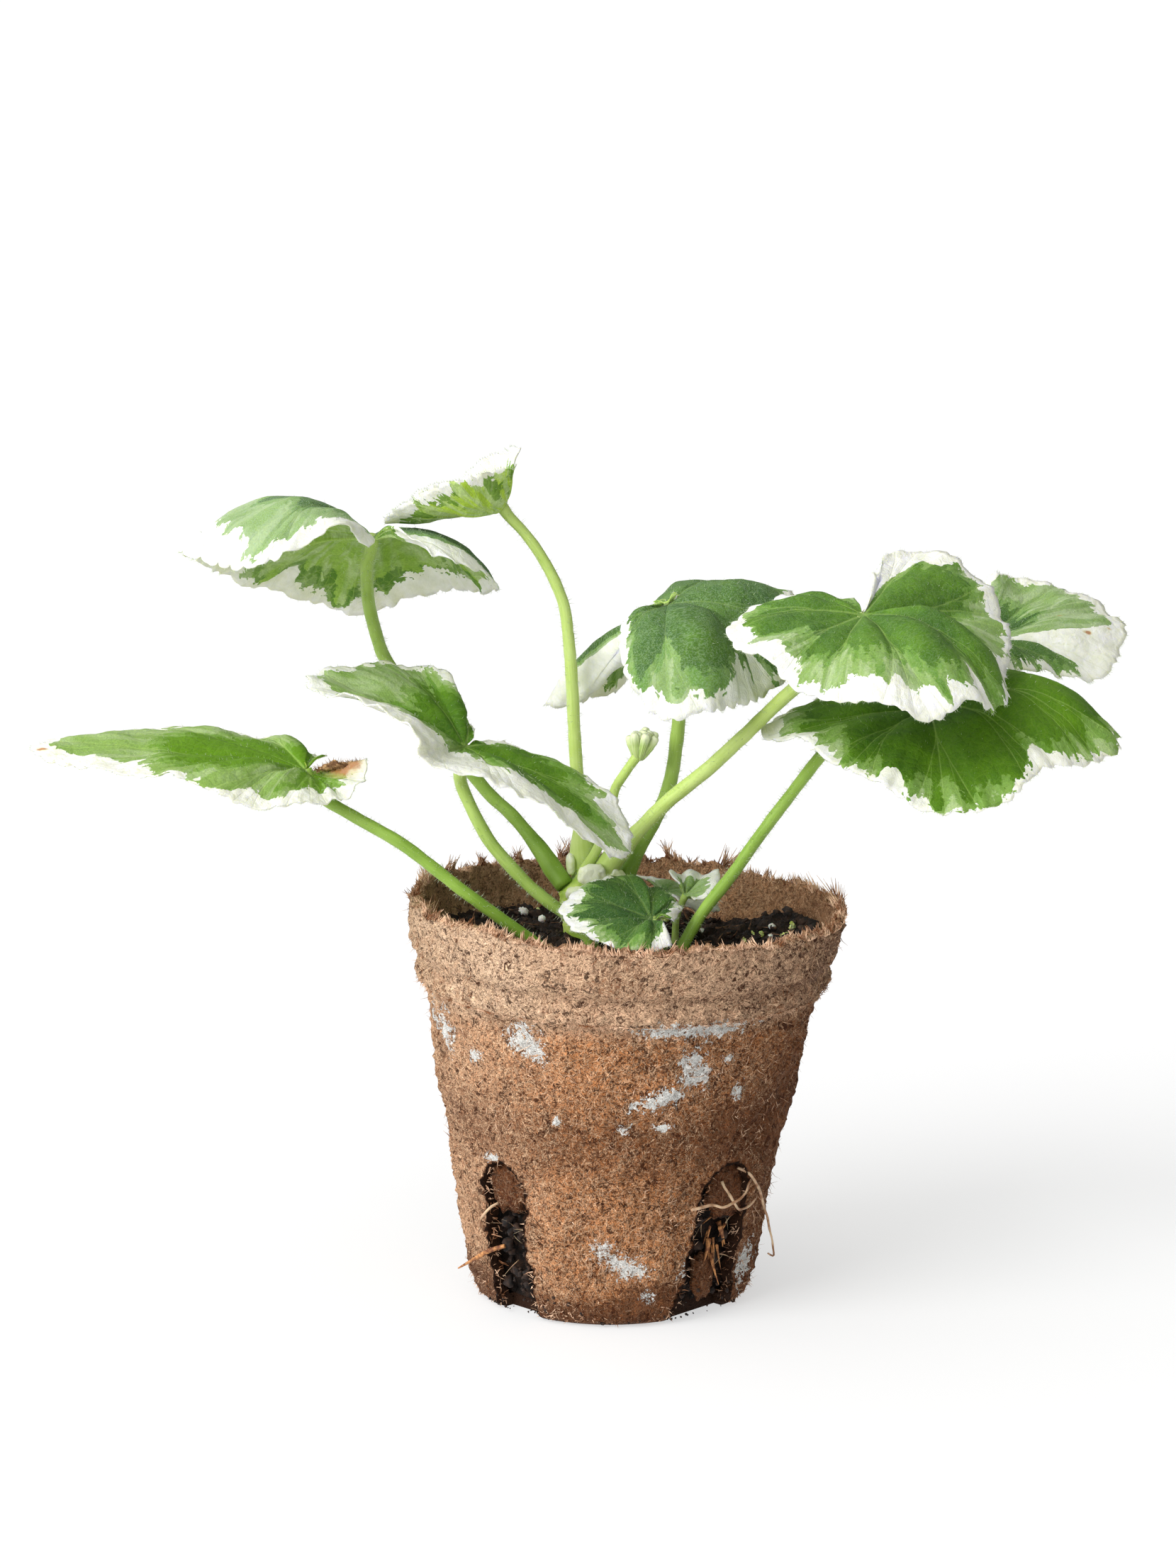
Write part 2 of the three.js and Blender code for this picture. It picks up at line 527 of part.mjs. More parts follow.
function makeSoil(holes) {
  const wallRadius = (height) => {
    const below = INNER_PROFILE.findIndex(([, z]) => z <= height);
    const [[r1, z1], [r0, z0]] = [INNER_PROFILE[below - 1], INNER_PROFILE[below]];
    return THREE.MathUtils.mapLinear(height, z0, z1, r0, r1) - CLEARANCE;
  };
  const bottom = FLOOR + CLEARANCE;
  const rings = [ringOf((angle) => potPlace(FOOT_RADIUS - 2.2, angle, bottom))];
  for (const height of [20, 42, 58, SOIL_SHOULDER]) {
    rings.push(ringOf((angle) => potPlace(wallRadius(height), angle, height)));
  }
  const topRadius = wallRadius(SOIL_SHOULDER);
  for (const share of SOIL_SHARES) {
    rings.push(ringOf((angle) => {
      const flat = potPlace(topRadius * share, angle, SOIL_LEVEL);
      return new THREE.Vector3(flat.x, flat.y, soilHeight(flat.x, flat.y) - (share === 1 ? 0.6 : 0));
    }));
  }
  const middle = potPlace(0, 0, SOIL_LEVEL);
  const top = new THREE.Vector3(middle.x, middle.y, soilHeight(middle.x, middle.y));
  const soil = solidFrom(closedRings(rings, potPlace(0, 0, bottom), top));
  return largestBody(holes.reduce((left, hole) => left.subtract(hole), soil));
}

function ringOf(pointAt) {
  return Array.from({ length: SOIL_SIDES }, (_, side) => pointAt((2 * Math.PI * side) / SOIL_SIDES));
}

function ellipsoid([x, y, z], [rx, ry, rz], turn = 0, across = 8, down = 6) {
  const geometry = new THREE.SphereGeometry(1, across, down);
  geometry.rotateX(Math.PI / 2);
  geometry.scale(rx, ry, rz);
  geometry.rotateY(turn);
  geometry.translate(x, y, z);
  return solidFrom(geometry);
}

// Crown with its pale stipules
function makeCrownBody(grow = 0) {
  const route = [
    [CROWN.x + 0.6, CROWN.y, CROWN.foot], [CROWN.x + 0.3, CROWN.y, 63], [CROWN.x, CROWN.y, 70],
    [CROWN.x, CROWN.y, CROWN.top],
  ];
  const stem = tube(route, [CROWN.footRadius, CROWN.topRadius], grow, 4, 12);
  const [x, y] = [CROWN.x, CROWN.y];
  const stipules = [
    ellipsoid([x + 0.9, y - 4.7, 80], [2.9 + grow, 1.2 + grow, 1.9 + grow], 0.2),
    ellipsoid([x - 1.1, y - 5, 76.4], [3.2 + grow, 1.3 + grow, 1.7 + grow], -0.15),
    ellipsoid([x - 3, y + 2, 80.6], [1.1 + grow, 1.7 + grow, 2.1 + grow], 0.3),
    ellipsoid([x + 4.6, y + 0.4, 78.6], [1.1 + grow, 1.8 + grow, 3.2 + grow], 0.7),
  ];
  const head = ellipsoid([x, y, CROWN.top], [6 + grow, 5.4 + grow, 3.6 + grow], 0, 12, 8);
  return stipules.reduce((whole, piece) => whole.add(piece), stem.add(head));
}

// Closed flower buds: narrow lobes that stand together in one cup
function makeBudHead() {
  const { x, y, z, height, radius } = BUD_HEAD;
  let head = ellipsoid([x, y, z + 1.2], [radius, radius, 2.2]);
  for (let i = 0; i < SEPALS; i += 1) {
    const angle = (2 * Math.PI * i) / SEPALS;
    const [cos, sin] = [Math.cos(angle), Math.sin(angle)];
    const lobe = tube(
      [
        [x + 0.6 * radius * cos, y + 0.6 * radius * sin, z + 0.6],
        [x + 0.85 * radius * cos, y + 0.85 * radius * sin, z + 0.55 * height],
        [x + 1.05 * radius * cos, y + 1.05 * radius * sin, z + height * (0.93 + 0.07 * Math.sin(3 * angle))],
      ],
      [0.8, 0.62], 0, 2, 5,
    );
    head = head.add(lobe);
  }
  const core = ellipsoid([x, y, z + 0.6 * height], [0.7 * radius, 0.7 * radius, 0.36 * height]);
  return largestBody(head.add(core));
}

// A stalk cut off flat just under its blade, and clear of it all round
function seatedStalk(leaf) {
  const { centre, meanUp } = bladeSurface(leaf);
  const down = meanUp.clone().negate();
  const whole = tube(leaf.stalk, leaf.stalkRadius);
  const stalk = whole.trimByPlane(down.toArray(), down.dot(centre) + STALK_TOP_GAP);
  return largestBody(stalk.subtract(blade(leaf, BLADE_THICKNESS + 2 * CLEARANCE)));
}

function named(name, solid, kind) {
  const material = new THREE.MeshStandardMaterial({ color: COLOURS[kind], roughness: 0.75, metalness: 0 });
  const mesh = new THREE.Mesh(geometryFrom(solid), material);
  mesh.name = name;
  return mesh;
}

function build() {
  const group = new THREE.Group();
  const names = Object.keys(LEAVES);
  const stalkOf = (name, grow) => tube(LEAVES[name].stalk, LEAVES[name].stalkRadius, grow);
  const crownHole = makeCrownBody(CLEARANCE);
  const fatStalks = names.map((name) => stalkOf(name, CLEARANCE));
  const budStalk = tube(BUD_STALK, BUD_STALK_RADIUS, 0, 8, 7);
  const fatBudStalk = tube(BUD_STALK, BUD_STALK_RADIUS, CLEARANCE, 8, 7);
  const budHead = makeBudHead();
  const pot = makePot();

  group.add(named("pot", pot, "pot"));
  group.add(named("soil", makeSoil([crownHole, ...fatStalks]), "soil"));
  const crown = [...fatStalks, fatBudStalk].reduce((left, hole) => left.subtract(hole), makeCrownBody());
  group.add(named("crown", largestBody(crown), "crown"));
  names.forEach((name) => {
    group.add(named(`stalk_${name}`, seatedStalk(LEAVES[name]), "stalk"));
    group.add(named(`leaf_${name}`, blade(LEAVES[name], BLADE_THICKNESS), "blade"));
  });
  group.add(named("bud_stalk", budStalk, "stalk"));
  group.add(named("bud_head", budHead.subtract(fatBudStalk), "bud"));
  for (const [name, places] of Object.entries(ROOTS)) {
    const route = places.map(rootPoint);
    group.add(named(name, tube(route, [ROOT_RADIUS, 0.7 * ROOT_RADIUS], 0, 9, 5), "root"));
  }
  return group;
}

export default build();
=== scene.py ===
"""Looks of a potted zonal geranium with cream-edged leaves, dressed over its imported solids.

Lengths are millimetres until a mesh is made. The origin is the centre of the pot's underside,
+Z is up, and the photograph looks along +Y.
"""
import math

import bpy
import numpy as np
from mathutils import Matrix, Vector


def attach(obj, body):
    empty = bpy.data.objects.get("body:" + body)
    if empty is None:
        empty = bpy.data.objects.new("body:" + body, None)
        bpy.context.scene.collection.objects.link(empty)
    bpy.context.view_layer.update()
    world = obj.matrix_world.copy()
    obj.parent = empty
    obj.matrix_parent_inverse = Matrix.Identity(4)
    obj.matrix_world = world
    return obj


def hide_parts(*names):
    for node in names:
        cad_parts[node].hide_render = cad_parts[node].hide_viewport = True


MM = 0.001
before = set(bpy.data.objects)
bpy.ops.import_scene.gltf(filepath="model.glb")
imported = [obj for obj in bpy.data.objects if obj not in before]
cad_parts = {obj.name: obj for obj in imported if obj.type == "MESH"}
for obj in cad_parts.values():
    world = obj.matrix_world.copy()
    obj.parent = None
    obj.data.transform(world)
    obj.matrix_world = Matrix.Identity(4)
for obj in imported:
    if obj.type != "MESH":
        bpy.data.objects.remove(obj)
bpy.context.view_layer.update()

UP = np.array([0.0, 0, 1])


def unit(v):
    """Vectors scaled to length 1 along their last axis."""
    v = np.asarray(v, float)
    return v / np.maximum(np.linalg.norm(v, axis=-1, keepdims=True), 1e-9)


def smooth(rows, places):
    """Smooth interpolation through rows of numbers; a place runs from 0 to len(rows) - 1."""
    rows = np.asarray(rows, float)
    padded = np.vstack([2 * rows[0] - rows[1], rows, 2 * rows[-1] - rows[-2]])
    places = np.asarray(places, float)
    i = np.clip(np.floor(places).astype(int), 0, len(rows) - 2)
    t = (places - i)[..., None]
    p0, p1, p2, p3 = (padded[i + k] for k in range(4))
    bend = (2 * p0 - 5 * p1 + 4 * p2 - p3) * t**2 + (3 * p1 - p0 - 3 * p2 + p3) * t**3
    return 0.5 * (2 * p1 + (p2 - p0) * t + bend)


def fade(low, high, value):
    """0 below low, 1 above high, and a smooth step between."""
    t = np.clip((np.asarray(value, float) - low) / (high - low), 0, 1)
    return t * t * (3 - 2 * t)


def ripple(points, wavelength, seed, waves=22):
    """Smooth random field of about -1 to 1 whose bumps are a wavelength apart."""
    draw = np.random.default_rng(seed)
    points = np.asarray(points, float)
    aims = unit(draw.normal(size=(waves, points.shape[-1])))
    pace = 2 * math.pi / (wavelength * draw.uniform(0.6, 1.6, waves))
    shifts = any_angles(draw, waves)
    total = np.zeros(points.shape[:-1])
    for aim, rate, shift in zip(aims, pace, shifts):
        total += np.sin(points @ aim * rate + shift)
    return total / math.sqrt(waves)


def ripples(points, *layers):
    """Sum of random fields, each given by its height, wavelength and seed."""
    return sum(height * ripple(points, wavelength, seed) for height, wavelength, seed in layers)


def turns(count):
    """Evenly spaced angles once round a circle."""
    return 2 * math.pi * np.arange(count) / count


def any_angles(draw, count):
    """Random angles round a circle."""
    return draw.uniform(0, 2 * math.pi, count)


def directions(angle):
    """Directions out of the pot and along its wall, at angles from +X."""
    angle = np.asarray(angle, float)
    level = np.zeros_like(angle)
    out = np.stack([np.cos(angle), np.sin(angle), level], -1)
    return out, np.stack([-out[..., 1], out[..., 0], level], -1)


def angle_gap(angle, degrees):
    """How far angles lie from a direction in degrees, between half a turn either way."""
    return (angle - math.radians(degrees) + math.pi) % (2 * math.pi) - math.pi


# Meshes


def grid_quads(rows, columns, start=0, closed=False):
    """Quads of a grid of points stored row by row; a closed grid joins its last column to its first."""
    row, column = np.meshgrid(np.arange(rows - 1), np.arange(columns - (not closed)), indexing="ij")
    after = (column + 1) % columns
    corners = [(row, column), (row, after), (row + 1, after), (row + 1, column)]
    return np.stack([start + r * columns + c for r, c in corners], -1).reshape(-1, 4)


def closed_rings(rings, first, last):
    """Points, quads and triangles of rings of points, joined in order and closed at both ends."""
    count, around = rings.shape[:2]
    turn = np.arange(around)
    after = (turn + 1) % around
    top = (count - 1) * around
    caps = [np.stack([np.full(around, count * around), after, turn], -1),
            np.stack([np.full(around, count * around + 1), top + turn, top + after], -1)]
    points = np.vstack([rings.reshape(-1, 3), [first], [last]])
    return points, grid_quads(count, around, closed=True), np.vstack(caps)


def make_mesh(name, body, finish, marks=None, smooth_faces=True):
    """Mesh of points, quads and triangles. Marks are three numbers a point, for its finish to read."""
    points, quads, tris = body
    faces = [np.asarray(quads, np.int32).reshape(-1, 4), np.asarray(tris, np.int32).reshape(-1, 3)]
    sizes = np.concatenate([np.full(len(some), some.shape[1]) for some in faces])
    mesh = bpy.data.meshes.new(name)
    mesh.vertices.add(len(points))
    mesh.vertices.foreach_set("co", (points * MM).astype(np.float32).ravel())
    mesh.loops.add(int(sizes.sum()))
    mesh.loops.foreach_set("vertex_index", np.concatenate([some.ravel() for some in faces]))
    mesh.polygons.add(len(sizes))
    mesh.polygons.foreach_set("loop_start", np.concatenate([[0], np.cumsum(sizes)[:-1]]))
    mesh.update(calc_edges=True)
    mesh.polygons.foreach_set("use_smooth", np.full(len(sizes), smooth_faces))
    for mark, values in (marks or {}).items():
        layer = mesh.attributes.new(mark, "FLOAT_VECTOR", "POINT")
        layer.data.foreach_set("vector", np.asarray(values, np.float32).ravel())
    mesh.materials.append(finish)
    return mesh


def add_object(name, data):
    """Object in the scene that holds a mesh, a light or a camera."""
    made = bpy.data.objects.new(name, data)
    bpy.context.scene.collection.objects.link(made)
    return made


def make_piece(name, body, finish, replaced=(), marks=None):
    """Object on the body "root" and the nodes that it replaces."""
    piece = add_object(name, make_mesh(name, body, finish, marks))
    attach(piece, "root")
    if replaced:
        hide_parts(*replaced)
    return piece


def distances(line):
    """How far along a line each of its points lies."""
    return np.concatenate([[0], np.cumsum(np.linalg.norm(np.diff(line, axis=0), axis=1))])


def even_path(route, step):
    """Points a step apart along a smooth line through the route's points."""
    fine = smooth(route, np.linspace(0, len(route) - 1, 60 * len(route)))
    reach = distances(fine)
    places = np.linspace(0, reach[-1], max(4, round(reach[-1] / step)) + 1)
    return np.stack([np.interp(places, reach, fine[:, k]) for k in range(3)], -1)


def sides_of(path):
    """Two directions square to the path at each of its points, which don't twist along it."""
    aim = unit(np.gradient(path, axis=0))
    side = np.zeros_like(path)
    first = UP if abs(aim[0, 2]) < 0.9 else np.array([1.0, 0, 0])
    side[0] = unit(np.cross(aim[0], first))
    for i in range(1, len(path)):
        side[i] = unit(side[i - 1] - aim[i] * (side[i - 1] @ aim[i]))
    return side, np.cross(aim, side)


def tube_rings(path, radii, around):
    """Rings of points round a path; radii has a value for each ring, or for each point."""
    side, other = sides_of(path)
    angles = turns(around)[None, :, None]
    radii = np.broadcast_to(np.asarray(radii, float).reshape(len(path), -1), (len(path), around))
    turn = np.cos(angles) * side[:, None] + np.sin(angles) * other[:, None]
    return path[:, None] + radii[..., None] * turn


def closed_tube(path, radii, around):
    """Points, quads and triangles of a tube closed at both ends."""
    return closed_rings(tube_rings(path, radii, around), path[0], path[-1])


def bumpy_tube(path, radius, around, *layers):
    """Closed tube whose radius is made uneven by random fields."""
    bumps = 1 + ripples(tube_rings(path, radius, around), *layers)
    return closed_tube(path, radius[:, None] * bumps, around)


def joined(pieces):
    """One list of points, quads and triangles from several."""
    points, quads, tris, start = [], [], [], 0
    for some_points, some_quads, some_tris in pieces:
        points.append(some_points)
        quads.append(np.asarray(some_quads, int).reshape(-1, 4) + start)
        tris.append(np.asarray(some_tris, int).reshape(-1, 3) + start)
        start += len(some_points)
    return np.vstack(points), np.vstack(quads), np.vstack(tris)


# Fibres: how far above the floor they stay, their sides, and the share by which they thin to the tip
LOWEST = 0.25
FIBRE_SIDES = 3
FIBRE_TAPER = 0.85


def strands(roots, aims, lengths, widths, curl, seed, segments=3):
    """Thin pointed fibres: each starts at a root, leaves along its aim and bends at random."""
    draw = np.random.default_rng(seed)
    count = len(roots)
    aims = unit(aims)
    bends = draw.normal(size=(count, 3))
    bends -= aims * (bends * aims).sum(-1, keepdims=True)
    bends = unit(bends) * (curl * draw.uniform(0.2, 1, count))[:, None]
    side = unit(np.cross(aims, bends + 1e-3))
    other = np.cross(aims, side)
    share = np.linspace(0, 1, segments + 1)
    line = aims[:, None] * share[None, :, None] + bends[:, None] * (share**2)[None, :, None]
    line = roots[:, None] + line * np.broadcast_to(lengths, count)[:, None, None]
    line[..., 2] = np.maximum(line[..., 2], LOWEST)
    angles = turns(FIBRE_SIDES)[None, :, None]
    turn = np.cos(angles) * side[:, None] + np.sin(angles) * other[:, None]
    radii = (0.5 * np.broadcast_to(widths, count))[:, None] * (1 - FIBRE_TAPER * share[None, :])
    rings = line[:, :, None] + radii[:, :, None, None] * turn[:, None]
    per = (segments + 1) * FIBRE_SIDES
    quads = grid_quads(segments + 1, FIBRE_SIDES, closed=True)
    ends = np.array([[0, 2, 1], [per - 3, per - 2, per - 1]])
    shift = (np.arange(count) * per)[:, None, None]
    return rings.reshape(-1, 3), (quads[None] + shift).reshape(-1, 4), (ends[None] + shift).reshape(-1, 3)


def ball_faces(level):
    """Unit ball of triangles, split level times from an icosahedron."""
    gold = (1 + math.sqrt(5)) / 2
    points = [(-1, gold, 0), (1, gold, 0), (-1, -gold, 0), (1, -gold, 0), (0, -1, gold), (0, 1, gold),
              (0, -1, -gold), (0, 1, -gold), (gold, 0, -1), (gold, 0, 1), (-gold, 0, -1), (-gold, 0, 1)]
    tris = [(0, 11, 5), (0, 5, 1), (0, 1, 7), (0, 7, 10), (0, 10, 11), (1, 5, 9), (5, 11, 4),
            (11, 10, 2), (10, 7, 6), (7, 1, 8), (3, 9, 4), (3, 4, 2), (3, 2, 6), (3, 6, 8), (3, 8, 9),
            (4, 9, 5), (2, 4, 11), (6, 2, 10), (8, 6, 7), (9, 8, 1)]
    points = [tuple(unit(p)) for p in points]
    for _ in range(level):
        middles, finer = {}, []

        def middle(a, b):
            key = (min(a, b), max(a, b))
            if key not in middles:
                middles[key] = len(points)
                points.append(tuple(unit(np.add(points[a], points[b]))))
            return middles[key]

        for a, b, c in tris:
            ab, bc, ca = middle(a, b), middle(b, c), middle(c, a)
            finer += [(a, ab, ca), (b, bc, ab), (c, ca, bc), (ab, bc, ca)]
        tris = finer
    return np.array(points), np.array(tris)


def lumps(centres, sizes, seed, level=1, rough=0.3):
    """Irregular grains: balls with random stretch, turn and dents."""
    draw = np.random.default_rng(seed)
    ball, tris = ball_faces(level)
    count = len(centres)
    spins = np.linalg.qr(draw.normal(size=(count, 3, 3)))[0]
    spins[:, :, 0] *= np.sign(np.linalg.det(spins))[:, None]
    stretch = draw.uniform(0.55, 1.25, (count, 1, 3)) * np.asarray(sizes).reshape(-1, 1, 1)
    dents = 1 + rough * draw.normal(size=(count, len(ball), 1)).clip(-1.6, 1.6) * 0.5
    points = (ball[None] * stretch * dents) @ spins + np.asarray(centres)[:, None]
    shift = (np.arange(count) * len(ball))[:, None, None]
    return points.reshape(-1, 3), np.zeros((0, 4), int), (tris[None] + shift).reshape(-1, 3)


def soft_block(centre, sizes, angle, power, *layers):
    """Rounded uneven block, turned about the upright, and the places of its points in the block."""
    ball, tris = ball_faces(3)
    shape = np.sign(ball) * np.abs(ball) ** power * sizes
    shape = shape * (1 + ripples(shape, *layers))[:, None]
    out, side = directions(angle)
    return (centre + shape @ np.array([out, side, UP]), [], tris), shape


# Shader building


class Wire:
    """A shader socket that takes part in plain arithmetic; each step adds a Math node."""

    def __init__(self, finish, socket):
        self.finish, self.socket = finish, socket

    def maths(self, operation, *values):
        """A Math node of these values."""
        return self.finish.node("Math", {"operation": operation}, dict(enumerate(values)))

    def __add__(self, other):
        return self.maths("ADD", self, other)

    def __sub__(self, other):
        return self.maths("SUBTRACT", self, other)

    def __rsub__(self, other):
        return self.maths("SUBTRACT", other, self)

    def __mul__(self, other):
        return self.maths("MULTIPLY", self, other)

    __radd__ = __add__
    __rmul__ = __mul__

    def most(self, other):
        """The larger of the two."""
        return self.maths("MAXIMUM", self, other)

    def size(self):
        """The distance from zero."""
        return self.maths("ABSOLUTE", self)

    def step(self, low, high):
        """0 below low, 1 above high, with a smooth edge; low may be the larger."""
        if low > high:
            return 1 - self.step(high, low)
        inputs = {"Value": self, "From Min": low, "From Max": high}
        return self.finish.node("MapRange", {"interpolation_type": "SMOOTHSTEP"}, inputs)


class Finish:
    """A material, or a world, whose nodes are made one call at a time."""

    def __init__(self, name, owners=None):
        self.owner = (bpy.data.materials if owners is None else owners).new(name)
        self.owner.use_nodes = True
        self.tree = self.owner.node_tree
        self.tree.nodes.clear()

    def node(self, kind, settings=None, inputs=None, out=0):
        """Any node, from its type, settings and values or wires; gives one of its outputs, or itself."""
        made = self.tree.nodes.new("ShaderNode" + kind)
        for key, value in (settings or {}).items():
            setattr(made, key, value)
        for key, value in (inputs or {}).items():
            if isinstance(value, Wire):
                self.tree.links.new(value.socket, made.inputs[key])
            else:
                made.inputs[key].default_value = value
        return made if out is None else Wire(self, made.outputs[out])

    def parts(self, vector):
        """The three numbers of a vector."""
        split = self.node("SeparateXYZ", {}, {0: vector}, out=None)
        return [Wire(self, socket) for socket in split.outputs]

    def mark(self, name):
        """The three numbers of a vertex mark."""
        return self.parts(self.node("Attribute", {"attribute_name": name}, out="Vector"))

    def place(self):
        """Position in the object's frame, in millimetres."""
        return self.scaled(self.node("TexCoord", out="Object"), 1 / MM)

    def scaled(self, vector, scale):
        """A vector or colour times a number."""
        return self.node("VectorMath", {"operation": "SCALE"}, {0: vector, "Scale": scale})

    def spot(self, x, y, z=0.0):
        """A vector of three numbers."""
        return self.node("CombineXYZ", {}, {0: x, 1: y, 2: z})

    def noise(self, vector, scale, detail=2.0, roughness=0.5, distortion=0.0):
        """A soft random number of about 0.25 to 0.75."""
        inputs = {"Vector": vector, "Scale": scale, "Detail": detail, "Roughness": roughness,
                  "Distortion": distortion}
        return self.node("TexNoise", {}, inputs)

    def cells(self, vector, scale):
        """A random number for each cell of a net."""
        colour = self.node("TexVoronoi", {}, {"Vector": vector, "Scale": scale}, out="Color")
        return self.parts(colour)[0]

    def net(self, vector, scale):
        """Distance from the lines between the cells of a net."""
        settings = {"feature": "DISTANCE_TO_EDGE"}
        return self.node("TexVoronoi", settings, {"Vector": vector, "Scale": scale}, out="Distance")

    def mix(self, share, one, other):
        """A colour that goes from one to other as share goes from 0 to 1."""
        colours = [c if isinstance(c, Wire) else (*c, 1) for c in (one, other)]
        return self.node("Mix", {"data_type": "RGBA"}, {0: share, 6: colours[0], 7: colours[1]}, out=2)

    def surface(self, colour, roughness, height=None, relief=0.2, **constants):
        """Ends the material; relief is the height in millimetres that 1 stands for."""
        inputs = {"Base Color": colour, "Roughness": roughness}
        inputs.update({key.replace("_", " "): value for key, value in constants.items()})
        if height is not None:
            inputs["Normal"] = self.node("Bump", {}, {"Height": height, "Distance": relief * MM})
        shader = self.node("BsdfPrincipled", {}, inputs, out="BSDF")
        self.node("OutputMaterial", {}, {"Surface": shader}, out=None)
        return self.owner


# Finishes. The meshes carry marks of three numbers a point, which the finishes read:
# vein: number of the nearest vein, share of the way from hub to edge, gap between veins
# zone: distances past the cream's and the grey-green's edge, and 1 on top or -1 below
# flat: place on the blade when it is rolled out flat, and how burnt it is
# mood: how yellow the green is, how downy the face is, and the leaf's number
# run: distance along a stalk or sepal, place round it, and how pale a stalk is
# scale: 1 on stipules; skin: distance round the wall, height, and 1 on its inside
# stain: crust; wetness of the wall, with painted shade on its right side, under the upper band's step and
# on the cuts; and lightness of the wall, with painted light on its left side

# How far red, green and blue light spreads inside blades, stems and stipules
BLADE_GLOW = (0.9, 1.0, 0.15)
STEM_GLOW = (0.9, 1.0, 0.3)
STIPULE_GLOW = (1.0, 1.0, 0.4)

# Forks and twigs of a blade's veins: the share of the way out where they start, and how they spread
FORK_START = 0.36
FORK_SPREAD = 0.42
TWIG_START = 0.62
TWIG_SPREAD = 0.34


def vein_lines(vein, rho, reach):
    """Lines of a blade's veins: 1 on a main vein, less on its forks and twigs, 0 off them."""
    away = (vein - vein.maths("ROUND", vein)).size()
    fork = (rho - FORK_START).most(0) * FORK_SPREAD
    second = (rho - TWIG_START).most(0) * TWIG_SPREAD
    main_vein = (away * reach + rho * 0.2).step(0.36, 0.1)
    fork_vein = ((away - fork).size() * reach).step(0.2, 0.03) * rho.step(0.34, 0.42)
    twig_vein = ((away - fork + second).size() * reach).step(0.13, 0.02) * rho.step(0.6, 0.68)
    return main_vein.most(fork_vein * 0.7).most(twig_vein * 0.5)


# Colours of the blades; a pair goes from the darker to the lighter
GREEN_ABOVE = (0.02, 0.085, 0.001), (0.12, 0.27, 0.003)
# Underside greens: the underside's own paler green, brightened by a painted glow of light shining through
# the blade
GREEN_BELOW = (0.34, 0.54, 0.08), (0.5, 0.7, 0.07)
HAZE_BELOW = (0.55, 0.68, 0.33)
CELLS_BELOW = (0.12, 0.28, 0.01)
GREY_GREEN = (0.11, 0.25, 0.03), (0.22, 0.36, 0.095)
MILKY_GREEN = (0.26, 0.39, 0.12), (0.44, 0.54, 0.3)
YOUNG_GREEN = (0.26, 0.45, 0.03)
VEIN_GREEN = (0.44, 0.62, 0.16)
WEB_GREEN = (0.36, 0.52, 0.1)
IVORY = (0.74, 0.75, 0.65), (0.88, 0.88, 0.84)
IVORY_VEIN = (0.7, 0.76, 0.46)
SCORCHED = (0.5, 0.36, 0.1)
BURNT = (0.42, 0.16, 0.05)
# Grey of the down, tinted blue by a painted sky sheen
DOWN_AND_SHEEN_GREY = (0.32, 0.45, 0.27)


